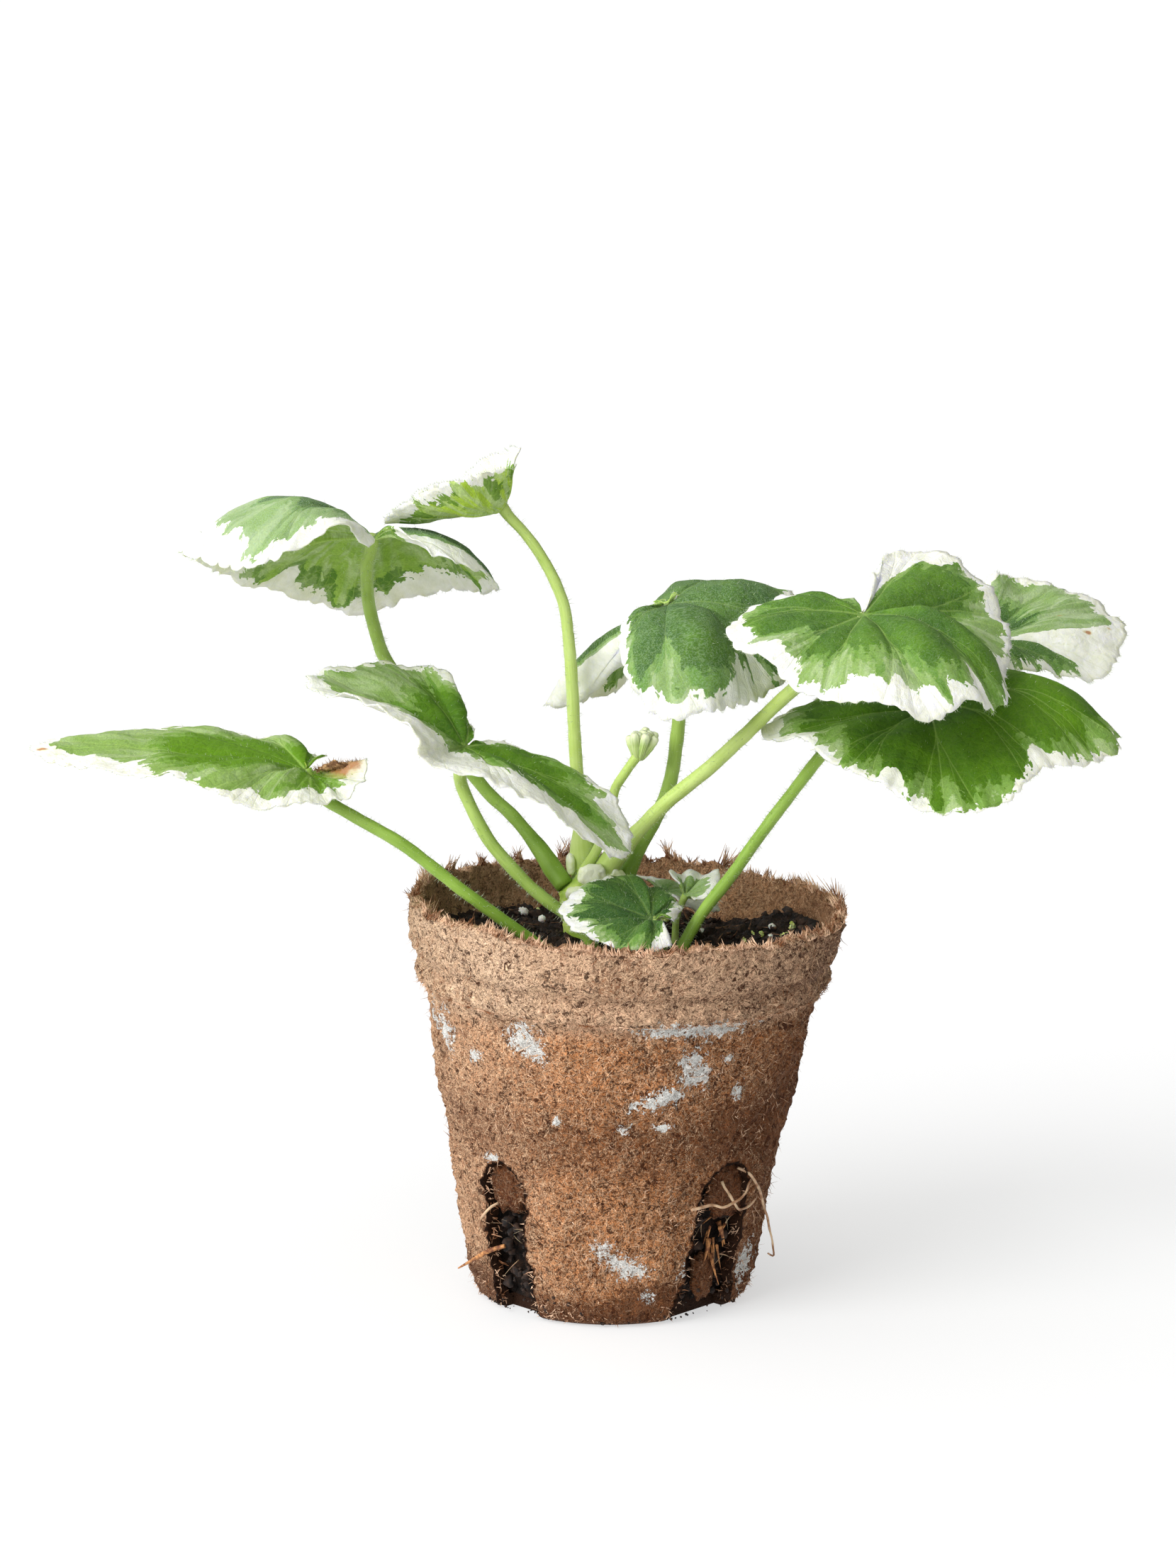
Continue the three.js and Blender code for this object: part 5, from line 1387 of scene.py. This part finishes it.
def cut_slots(pot):
    """Cuts the four drainage slots out of the wall, with ragged sides darkened nearly black by painted
    shade.
    """
    for number, degrees in enumerate(SLOT_ANGLES):
        outline = slot_outline(number)
        out, side = directions(math.radians(degrees))
        flat = outline[:, :1] * side + outline[:, 1:] * UP
        rings = np.stack([out * reach + flat for reach in (SLOT_BACK, SLOT_FRONT)])
        body = closed_rings(rings, rings[0].mean(0), rings[1].mean(0))
        plain = {"skin": (0, 0, 1), "stain_and_shading": (0, CUT_SHADE, 0)}
        marks = {key: np.tile(value, (len(body[0]), 1)) for key, value in plain.items()}
        cutter = add_object("cutter", make_mesh("cutter", body, pot_material, marks, smooth_faces=False))
        cut = pot.modifiers.new("slot", "BOOLEAN")
        cut.operation = "DIFFERENCE"
        cut.object = cutter
        cut.solver = "MANIFOLD"
        apply_modifiers(pot)
        bpy.data.objects.remove(cutter)
    darken_cuts(pot.data)


def read_vectors(data, key, count):
    """Three numbers a point, read from a mesh."""
    values = np.empty(count * 3, np.float32)
    data.foreach_get(key, values)
    return values.reshape(-1, 3)


def darken_cuts(mesh):
    """Marks the faces of the cuts, and the floor seen through the slots, with nearly black painted shade,
    in the stain that the pot's finish reads.
    """
    count = len(mesh.vertices)
    points = read_vectors(mesh.vertices, "co", count) / MM
    stain_and_shading = read_vectors(mesh.attributes["stain_and_shading"].data, "vector", count)
    for number, degrees in enumerate(SLOT_ANGLES):
        out, side = directions(math.radians(degrees))
        reach, across, up = points @ out, points @ side, points[:, 2]
        near = np.nonzero((reach > 15) & (np.abs(across) < SLOT_WIDTH) & (up < SLOT_TOP + 2))[0]
        outline = slot_outline(number)
        beside = across[near][:, None] - outline[None, :, 0]
        above = up[near][:, None] - outline[None, :, 1]
        cut = np.hypot(beside, above).min(1) < 0.55
        cut |= (reach[near] < SLOT_BACK + 0.9) & (up[near] < FLOOR + 1)
        stain_and_shading[near[cut], :2] = (0, CUT_SHADE)
    mesh.attributes["stain_and_shading"].data.foreach_set("vector", stain_and_shading.ravel())


def apply_modifiers(piece):
    """Makes the result of a piece's modifiers its own mesh."""
    bpy.context.view_layer.update()
    graph = bpy.context.evaluated_depsgraph_get()
    whole = piece.evaluated_get(graph)
    made = bpy.data.meshes.new_from_object(whole, preserve_all_data_layers=True, depsgraph=graph)
    old = piece.data
    piece.modifiers.clear()
    piece.data = made
    bpy.data.meshes.remove(old)


def in_slot(angle, height, margin=0.0):
    """Whether a place on the wall lies in one of the slots."""
    inside = np.zeros(np.broadcast(angle, height).shape, bool)
    radius = wall_radius(OUTER_PROFILE, height)
    for number, degrees in enumerate(SLOT_ANGLES):
        along = angle_gap(angle, degrees) * radius
        along = along - slot_shift(number, height, along > 0)
        inside |= (np.abs(along) < SLOT_WIDTH / 2 + margin) & (height < SLOT_TOP + margin)
    return inside


def wall_points(angle, height, stand=0.0):
    """Places on the outside of the wall, or standing off it."""
    return pot_place(wall_radius(OUTER_PROFILE, height) + stand, angle, height)


def wall_route(places):
    """A route over the wall from degrees, how far each point stands off it, and its height."""
    return [wall_points(math.radians(degrees), height, stand) for degrees, stand, height in places]


# Loose fibres of the wall: how many, and the range of their lengths and widths
WALL_FIBRES = 6200
FIBRE_LENGTHS = (0.6, 2.0)
FIBRE_WIDTHS = (0.08, 0.22)


def make_pot_fuzz():
    """Short loose fibres that lie on the wall and stand off it a little."""
    draw = np.random.default_rng(71)
    angle = any_angles(draw, WALL_FIBRES)
    height = draw.uniform(0.8, 73, WALL_FIBRES)
    keep = ~in_slot(angle, height, 0.4)
    angle, height = angle[keep], height[keep]
    count = len(angle)
    out, side = directions(angle)
    lean = any_angles(draw, (count, 1))
    aim = np.cos(lean) * side + np.sin(lean) * UP + out * draw.uniform(0.0, 0.55, (count, 1))
    lengths = draw.uniform(*FIBRE_LENGTHS, count) * (1 + 0.6 * (draw.random(count) < 0.05))
    roots = wall_points(angle, height, -0.1)
    low = roots[:, 2] + unit(aim)[:, 2] * lengths < 0.4
    aim[low, 2] = np.abs(aim[low, 2])
    body = strands(roots, aim, lengths, draw.uniform(*FIBRE_WIDTHS, count), 0.7, 72, 2)
    make_piece("pot_fuzz", body, fuzz_material)


# Taller torn tufts on the rim: degrees from +X and height above it
RIM_SPIKES = [
    (-158, 2.6), (-178, 2.4), (163, 2.6), (150, 3.6), (135, 3.2), (121, 3.4), (108, 5.6), (93, 2.6),
    (76, 4), (60, 4.6), (46, 2.8), (33, 3), (22, 3.8), (10, 2.6), (2, 4.6),
]
TUFTS = 420
TUFT_FIBRES = 7
TUFTS_A_SPIKE = 3
SPIKE_FIBRES = 9
TUFT_WIDTHS = (0.2, 0.5)
END_WIDTHS = (0.12, 0.34)
LEDGE_FIBRES = 1200
LEDGE_HEIGHT = 59.6
FOOT_FIBRES = 700
# Loose fibre ends along the rim: how many, how far in from its outer edge and how far below its top
RIM_ENDS = ((800, 0.0, 0.5), (500, WALL, 0.4))


def rim_places(angle, inward, drop):
    """Places on the rim, so far in from its outer edge and below its ragged top."""
    radius = wall_radius(OUTER_PROFILE, POT_HEIGHT - 0.6) - inward
    return pot_place(radius, angle, POT_HEIGHT + rim_height(angle) - drop)


def make_tufts(draw, angles, talls, spreads, each, seed):
    """Torn tufts of the rim: fibres that start side by side and lean together to a point."""
    count = len(angles)
    spread = draw.uniform(-1, 1, (count, each)) * spreads[:, None] / RIM_RADIUS
    angle = (angles[:, None] + spread).ravel()
    inward = draw.uniform(0.1, WALL - 0.2, count * each)
    roots = rim_places(angle, inward, 0.7)
    middle = rim_places(angles, WALL / 2, 0.7)
    lean = draw.normal(scale=0.4, size=(count, 3)) * (1, 1, 0) + UP
    apex = middle + lean * (talls + 0.7)[:, None]
    aims = np.repeat(apex, each, axis=0) + draw.normal(scale=0.22, size=(count * each, 3)) - roots
    lengths = np.linalg.norm(aims, axis=1) * draw.uniform(0.55, 1.05, count * each)
    return strands(roots, aims, lengths, draw.uniform(*TUFT_WIDTHS, count * each), 0.22, seed, 2)


def make_rim_fuzz():
    """Torn tufts and loose fibre ends along the rim, and fibres of the ledge below it and of the foot."""
    draw = np.random.default_rng(81)
    angles = any_angles(draw, TUFTS)
    talls = 0.25 + 1.5 * draw.random(TUFTS) ** 2
    bodies = [make_tufts(draw, angles, talls, draw.uniform(0.3, 1.0, TUFTS), TUFT_FIBRES, 82)]
    degrees, heights = np.array(RIM_SPIKES).T
    for number in range(TUFTS_A_SPIKE):
        near = np.radians(degrees) + draw.normal(scale=0.022, size=len(degrees))
        talls = heights * draw.uniform(0.45, 1.0, len(heights))
        bodies.append(make_tufts(draw, near, talls, 0.5 + 0.14 * talls, SPIKE_FIBRES, 83 + number))
    for count, inward, drop in RIM_ENDS:
        angle = any_angles(draw, count)
        bodies.append(loose_ends(draw, rim_places(angle, inward, drop), angle, 1.2, 0.9, 90 + count))
    angle = any_angles(draw, LEDGE_FIBRES)
    ledge = wall_points(angle, LEDGE_HEIGHT, -0.2)
    bodies.append(loose_ends(draw, ledge, angle, 1.3, -0.5, 87))
    angle = any_angles(draw, FOOT_FIBRES)
    level = draw.uniform(0.8, 5, FOOT_FIBRES)
    keep = ~in_slot(angle, level, 0.4)
    foot = wall_points(angle[keep], level[keep], -0.2)
    bodies.append(loose_ends(draw, foot, angle[keep], 1.5, -0.3, 88))
    make_piece("rim_fuzz", joined(bodies), fuzz_material)


def loose_ends(draw, roots, angle, longest, rise, seed):
    """Short curly fibres that stand off the wall or the rim."""
    count = len(roots)
    out, side = directions(angle)
    sway = draw.normal(scale=0.9, size=(count, 1)) * side + draw.normal(scale=0.6, size=(count, 1)) * out
    aim = sway + out * (0.6 if rise < 0 else 0.15) + rise * UP
    lengths = draw.uniform(0.4, longest, count) * draw.uniform(0.4, 1, count)
    return strands(roots, aim, lengths, draw.uniform(*END_WIDTHS, count), 0.8, seed, 2)


# Soil
SOIL_LEVEL = 65
SOIL_SHOULDER = 64
BANK_HEIGHT = 4
HOLLOW_DEPTH = 3.5
MOUND_HEIGHT = 3.2
MOUND_SPREAD = 260
CLEARANCE = 0.3
SOIL_AROUND = 200


def soil_height(x, y):
    """Mounded at the crown, banked against the wall at left and right, with a hollow at the back."""
    mound = MOUND_HEIGHT * np.exp(-((x - CROWN["x"]) ** 2 + (y - CROWN["y"]) ** 2) / MOUND_SPREAD)
    uneven = np.sin(0.31 * x + 1.2) * np.cos(0.27 * y - 0.4) + 0.5 * np.sin(0.83 * x + 0.61 * y)
    bank = BANK_HEIGHT * (x / WAIST_RADIUS) ** 2
    hollow = HOLLOW_DEPTH * np.exp(-((x - 19) ** 2 + (y - 25) ** 2) / 130)
    return SOIL_LEVEL + mound + bank - hollow + 0.7 * uneven


def make_soil():
    """Compost: sides that show in the slots, and a lumpy top."""
    angles = turns(SOIL_AROUND)[None]
    heights = np.linspace(FLOOR + CLEARANCE, SOIL_SHOULDER, 56)[:, None]
    radius = wall_radius(INNER_PROFILE, heights) - CLEARANCE
    radius[0] = FOOT_RADIUS - 2.2
    sides = pot_place(radius, angles, heights)
    sunk = 0.2 + 0.75 * np.abs(ripple(sides, 3.2, 91)) + 0.35 * np.abs(ripple(sides, 1.4, 92))
    in_view = in_slot(angles, heights, 1.5) & (heights > 3.2)
    sunk = np.where(in_view, sunk + 0.8, 0.2 * sunk)
    sides = sides - sunk[..., None] * directions(angles)[0]
    shares = np.linspace(1, 0, 42)[:-1, None]
    top = pot_place((radius[-1, 0] + 0.6) * shares, angles, SOIL_LEVEL)
    lumpy = 0.75 * ripple(top[..., :2], 4, 93) + 0.5 * np.abs(ripple(top[..., :2], 1.7, 94)) - 0.4
    lumpy = lumpy * fade(0, 0.1, 1.02 - shares)
    top[..., 2] = soil_height(top[..., 0], top[..., 1]) - 0.6 * fade(0.96, 1, shares) + lumpy
    body = closed_rings(np.concatenate([sides, top]), (0, 0, FLOOR + CLEARANCE), (0, 0, SOIL_LEVEL + 2.2))
    make_piece("peat_bed", body, soil_material, ["soil"])


def on_soil(draw, count, widest=0.98):
    """Random places on the top of the soil."""
    angle = any_angles(draw, count)
    radius = (WAIST_RADIUS - WALL + 1.8) * widest * np.sqrt(draw.uniform(0.02, 1, count))
    place = pot_place(radius, angle, SOIL_LEVEL)
    place[:, 2] = soil_height(place[:, 0], place[:, 1])
    return place


def in_slots(draw, count, low, high, depth):
    """Random places at the soil's face in the slots."""
    number = draw.integers(0, len(SLOT_ANGLES), count)
    height = draw.uniform(low, high, count)
    radius = wall_radius(INNER_PROFILE, height) - draw.uniform(0, depth, count)
    along = draw.uniform(-0.42, 0.42, count) * SLOT_WIDTH
    along = along + slot_shift(number, height, along > 0)
    return pot_place(radius, np.radians(SLOT_ANGLES)[number] + along / radius, height)


# How many small things there are, and the sizes of chips
CRUMBS = 520
SLOT_CRUMBS = 200
FINE_CRUMBS = 800
FOOT_CRUMBS = 260
CHIPS = 130
SLOT_CHIPS = 110
CHIP_LENGTHS = (1.2, 4.2)
CHIP_WIDTHS = (0.3, 0.9)
PERLITE_GRAINS = 22
MOSS_BEADS = 7

# Patches of moss by the rim: x, y and size
MOSS = [
    (33.4, 3.5, 0.75), (31.4, -3.5, 0.7), (32.4, -4.2, 0.5), (27.6, -1, 0.45), (24.4, -4, 0.4),
    (26, -2.4, 0.35), (10, 28, 0.6), (-14, 26, 0.5),
]


def make_bits():
    """Crumbs, chips, perlite and moss that lie on the soil and show in the slots."""
    draw = np.random.default_rng(101)
    foot_angle = any_angles(draw, FOOT_CRUMBS)
    foot_height = 0.6 + 6 * draw.random(FOOT_CRUMBS) ** 2
    crumbs = np.vstack([on_soil(draw, CRUMBS) + 0.2 * UP, in_slots(draw, SLOT_CRUMBS, 3, 21, 1.0)])
    sizes = 0.3 + 0.9 * draw.random(len(crumbs)) ** 3
    foot = wall_points(foot_angle, foot_height, -0.15)
    fine = np.vstack([on_soil(draw, FINE_CRUMBS) + 0.3 * UP, foot])
    fine_sizes = 0.16 + 0.34 * draw.random(len(fine)) ** 2
    bodies = [lumps(crumbs, sizes, 102, 1, 0.6), lumps(fine, fine_sizes, 106, 0, 0.6)]
    make_piece("peat_crumbs", joined(bodies), crumb_material)

    chips = np.vstack([on_soil(draw, CHIPS) + 0.5 * UP, in_slots(draw, SLOT_CHIPS, 20, 28.5, 0.9)])
    count = len(chips)
    aims = draw.normal(size=(count, 3)) * (1, 1, 0.45)
    lengths = draw.uniform(*CHIP_LENGTHS, count)
    shreds = strands(chips, aims, lengths, draw.uniform(*CHIP_WIDTHS, count), 0.25, 103)
    make_piece("bark_shreds", shreds, bark_material)

    perlite = on_soil(draw, PERLITE_GRAINS, 0.93) + 0.6 * UP
    perlite[0] = (24.5, -21.5, soil_height(24.5, -21.5) + 0.9)
    grains = lumps(perlite, 0.35 + 0.6 * draw.random(PERLITE_GRAINS), 104, 2, 0.16)
    make_piece("perlite", grains, perlite_material)

    beads = []
    bead_sizes = []
    for x, y, size in MOSS:
        middle = np.array([x, y, soil_height(x, y) + 0.9])
        beads.append(middle + draw.normal(scale=0.45 * size, size=(MOSS_BEADS, 3)))
        bead_sizes.append(size * draw.uniform(0.45, 0.8, MOSS_BEADS))
    moss = lumps(np.vstack(beads), np.concatenate(bead_sizes), 105, 1, 0.25)
    make_piece("moss", moss, moss_material)


# Roots that come out of the slots: degrees from +X, how far they stand out of the wall, height
ROOTS = {
    "root_1": [(-47, -1.2, 26.5), (-44.5, 0.5, 23.4), (-41, 1, 20.8), (-35, 1.1, 20.6), (-30.5, 0.9, 21.6)],
    "root_2": [(-62, 0.9, 22.8), (-56, 1.1, 23.2), (-50, 1.8, 22.6), (-43, 2.4, 23.8), (-36, 0.9, 25.8)],
    "root_3": [
        (-40, -1.2, 28.5), (-36, 0.6, 27), (-31, 1.2, 24), (-26, 1.3, 20.8), (-21.5, 1.8, 17.5),
        (-18.5, 2.6, 14), (-17.5, 3.6, 11), (-18.8, 4.2, 9.3), (-22, 3.6, 10),
    ],
    "root_4": [(-140, -1.2, 21.6), (-141, 0.5, 20.6), (-144, 1.3, 18.6), (-147, 1.2, 16)],
}
ROOT_RADIUS = 0.28


def make_roots():
    """Thin roots, uneven and thinner towards their ends."""
    for number, (name, places) in enumerate(ROOTS.items()):
        path = even_path(wall_route(places), 0.5)
        path = path + 0.12 * np.stack([ripple(path, 4, 110 + number + k) for k in (0, 7, 14)], -1)
        radius = ROOT_RADIUS * (1 - 0.45 * np.linspace(0, 1, len(path)) ** 2)
        radius = radius * (1 + 0.12 * ripple(path, 1.8, 120 + number))
        make_piece(f"fine_{name}", closed_tube(path, radius, 10), root_material, [name])


# In the slots: rootlets, and frayed fibres along the sides
ROOTLETS = 44
ROOTLET_LENGTHS = (2, 5.5)
ROOTLET_WIDTHS = (0.16, 0.36)
SLOT_FIBRES = 820
SLOT_FIBRE_WIDTHS = (0.12, 0.4)


def make_slot_shreds():
    """Rootlets in the slots, and frayed fibres along their sides."""
    draw = np.random.default_rng(131)
    rootlets = in_slots(draw, ROOTLETS, 8, 24, 0.6)
    aims = draw.normal(size=(ROOTLETS, 3)) * (0.6, 0.6, 1.0)
    lengths = draw.uniform(*ROOTLET_LENGTHS, ROOTLETS)
    body = strands(rootlets, aims, lengths, draw.uniform(*ROOTLET_WIDTHS, ROOTLETS), 0.5, 132, 5)
    make_piece("rootlets", body, root_material)

    count = SLOT_FIBRES
    number = draw.integers(0, len(SLOT_ANGLES), count)
    side = draw.choice([-1, 1], count)
    height = draw.uniform(1, 29, count)
    radius = wall_radius(OUTER_PROFILE, height) - draw.uniform(0.1, WALL, count)
    half = SLOT_WIDTH / 2
    over = np.maximum(height - (SLOT_TOP - half), 0)
    reach = np.sqrt(np.maximum(half**2 - over**2, 0.5))
    along = side * reach + slot_shift(number, height, side > 0)
    angle = np.radians(SLOT_ANGLES)[number] + along / radius
    roots = pot_place(radius, angle, height)
    aims = draw.normal(scale=0.6, size=(count, 3)) - directions(angle)[1] * side[:, None]
    lengths = np.minimum(draw.uniform(0.5, 1.9, count), height * 0.6)
    body = strands(roots, aims, lengths, draw.uniform(*SLOT_FIBRE_WIDTHS, count), 0.6, 133, 2)
    make_piece("slot_fuzz", body, fuzz_material)


STRAWS = 16
STRAW_LENGTHS = (2.5, 6.5)
STRAW_WIDTHS = (0.4, 1.3)


def make_straws():
    """Split straws that hang in the right slot."""
    draw = np.random.default_rng(134)
    height = draw.uniform(10, 19.5, STRAWS)
    angle = np.radians(SLOT_ANGLES[1]) + draw.uniform(-0.3, 0.36, STRAWS) * SLOT_WIDTH / BELLY_RADIUS
    radius = wall_radius(INNER_PROFILE, height) + draw.uniform(-0.6, 1.0, STRAWS)
    aims = draw.normal(scale=0.3, size=(STRAWS, 3)) + (-0.25, 0, -1)
    lengths = draw.uniform(*STRAW_LENGTHS, STRAWS)
    widths = draw.uniform(*STRAW_WIDTHS, STRAWS)
    straws = strands(pot_place(radius, angle, height), aims, lengths, widths, 0.15, 135)
    make_piece("straws", straws, straw_material)


# Felt left in the slots: slot, along the wall, height, half sizes out, along and up
FELT_PLUGS = [
    (0, 0.8, 25.4, (1.3, 4.4, 4.8)), (1, 0.4, 25.0, (1.2, 4.6, 5.4)), (1, -2.0, 8, (1.2, 2.6, 4.2)),
    (2, 0, 25, (1.2, 3.4, 4)), (3, -1, 25.5, (1.2, 3, 3.6)),
]


def make_felt_plugs():
    """Torn felt that still closes part of the slots, a little behind the wall's face."""
    bodies = []
    skins = []
    for number, (slot, along, height, sizes) in enumerate(FELT_PLUGS):
        angle = math.radians(SLOT_ANGLES[slot])
        middle = wall_points(angle, height, -WALL) + along * directions(angle)[1]
        layers = (0.1, 2.2, 136 + number), (0.08, 0.8, 146 + number)
        body, shape = soft_block(middle, sizes, angle, 0.75, *layers)
        bodies.append(body)
        skins.append(np.stack([shape[:, 1] + 40 * number, shape[:, 2], 0 * shape[:, 0]], -1))
    skin = np.vstack(skins)
    marks = {"skin": skin, "stain_and_shading": np.broadcast_to((0, 1.05, 0), skin.shape)}
    make_piece("felt_plugs", joined(bodies), pot_material, (), marks)


# Twig by the left slot: degrees from +X, how far it stands out of the wall, height
TWIG = [(-138, -0.8, 13.4), (-144, 0.8, 12), (-152, 2.2, 9.4), (-161, 3.6, 6.6)]


def make_twig():
    """Thin torn strip that sticks out of the left slot."""
    path = even_path(wall_route(TWIG), 0.5)
    radius = np.interp(np.linspace(0, 1, len(path)), [0, 0.4, 1], [0.4, 0.45, 0.14])
    make_piece("twig", closed_tube(path, radius, 8), straw_material)


# Withered, curled lobe in the notch of leaf e: the line of its roll
WITHERED = [(-53.4, -13.4, 101.2), (-50.8, -13.8, 102.1), (-48.2, -13.6, 102.2), (-45.8, -13, 102.6)]
WITHERED_AROUND = 20
BRISTLES = 260


def make_withered():
    """Dry rolled edge of a blade, with crumbling bristles."""
    draw = np.random.default_rng(141)
    path = even_path(WITHERED, 0.3)
    share = np.linspace(0, 1, len(path))
    radius = 0.75 * np.sin(math.pi * np.clip(share, 0.05, 0.95)) ** 0.6
    roll = bumpy_tube(path, radius, WITHERED_AROUND, (0.28, 1.5, 142))
    pick = draw.integers(0, len(path), BRISTLES)
    out = unit(draw.normal(size=(BRISTLES, 3)) + (0, -0.4, 0.4))
    roots = path[pick] + out * radius[pick][:, None] * 0.8
    bristles = strands(roots, out, draw.uniform(0.4, 1.1, BRISTLES), 0.14, 0.4, 143, 2)
    make_piece("withered_lobe", joined([roll, bristles]), withered_material)


# Studio: floor, soft key light, and a sky that is brighter on one side
FLOOR_RADIUS = 14000
FLOOR_SIDES = 64
FLOOR_COLOUR = (0.4, 0.4, 0.4)
FLOOR_GLOW = 0.56
KEY_STRENGTH = 2.5
KEY_ANGLE = 40
KEY_FROM = (-0.78, -0.66, 0.66)
SKY_SEEN = 1.0
SKY_DARK = 0.06
SKY_BRIGHT = 1.3
SKY_EDGE = -0.45
SKY_FROM = (-0.72, -0.4, 0.5)


def make_floor():
    """Pale floor that glows a little, so that it looks as white as the sky."""
    f = Finish("studio_floor")
    finish = f.surface((*FLOOR_COLOUR, 1), 0.8, Specular_IOR_Level=0.1, Emission_Color=(1, 1, 1, 1),
                       Emission_Strength=FLOOR_GLOW)
    mesh = bpy.data.meshes.new("studio_floor")
    ring = directions(turns(FLOOR_SIDES))[0] * FLOOR_RADIUS * MM
    mesh.from_pydata(ring.tolist(), [], [list(range(FLOOR_SIDES))])
    mesh.materials.append(finish)
    floor = add_object("studio_floor", mesh)


def make_key():
    """Soft light from the upper left in front."""
    sun = bpy.data.lights.new("key", "SUN")
    sun.energy = KEY_STRENGTH
    sun.angle = math.radians(KEY_ANGLE)
    add_object("key", sun).rotation_euler = Vector(KEY_FROM).to_track_quat("Z", "Y").to_euler()


def make_sky():
    """Sky that lights the object from one side more than from the other, and is seen as plain white."""
    sky = Finish("studio", bpy.data.worlds)
    bpy.context.scene.world = sky.owner
    aim = {0: sky.node("TexCoord", out="Generated"), 1: unit(SKY_FROM)}
    toward = sky.node("VectorMath", {"operation": "DOT_PRODUCT"}, aim, out="Value")
    span = {"Value": toward, "From Min": SKY_EDGE, "From Max": 1, "To Min": SKY_DARK, "To Max": SKY_BRIGHT}
    brightness = sky.node("MapRange", {"interpolation_type": "SMOOTHSTEP"}, span)
    lighting, seen = (sky.node("Background", {}, {"Color": (1, 1, 1, 1), "Strength": strength})
                      for strength in (brightness, SKY_SEEN))
    seen_straight = sky.node("LightPath", out="Is Camera Ray")
    mix = sky.node("MixShader", {}, {0: seen_straight, 1: lighting, 2: seen})
    sky.node("OutputWorld", {}, {"Surface": mix}, out=None)


# Camera, as measured from the pot's rim and foot in the photograph
CAMERA_PLACE = (-4.4, -850, 265.9)
CAMERA_PITCH = 11.3
LENS = 108.5


def make_camera():
    """Camera at the photograph's viewing angle."""
    data = bpy.data.cameras.new("camera")
    data.lens = LENS
    data.sensor_width = 36
    data.clip_end = 100
    camera = add_object("camera", data)
    camera.location = Vector(CAMERA_PLACE) * MM
    camera.rotation_euler = (math.radians(90 - CAMERA_PITCH), 0, 0)
    bpy.context.scene.camera = camera


def make_plant():
    """Blades, stalks, their hairs, the crown and the bud."""
    hairs = []
    for number, (name, leaf) in enumerate(LEAVES.items()):
        parts = blade_parts(name, leaf)
        make_blade(name, leaf, parts)
        route = [leaf["hub"], *leaf["stalk"]]
        make_stalk(f"petiole_{name}", route, leaf["radius"], leaf["pale"], [f"stalk_{name}"], leaf["flare"])
        hairs.append(stalk_hairs(route, leaf["radius"], 200 + number))
        if name not in HAIRLESS:
            count = SMALL_BLADE_HAIRS if name == "g" else BLADE_HAIRS
            hairs.append(blade_hairs(parts, count, 220 + number))
    make_stalk("bud_stem", BUD_STALK, BUD_STALK_RADII, (0.8, 0.9), ["bud_stalk"])
    hairs.append(stalk_hairs(BUD_STALK, BUD_STALK_RADII, 240))
    make_piece("plant_hairs", joined(hairs), hair_material)
    make_crown()
    make_bud()


def make_filled_pot():
    """Pot, soil, roots and the small things on them."""
    make_pot()
    make_pot_fuzz()
    make_rim_fuzz()
    make_soil()
    make_bits()
    make_roots()
    make_slot_shreds()
    make_straws()
    make_felt_plugs()
    make_twig()


make_camera()
make_floor()
make_key()
make_sky()
bpy.context.scene.view_settings.view_transform = "Standard"
make_plant()
make_filled_pot()
make_withered()
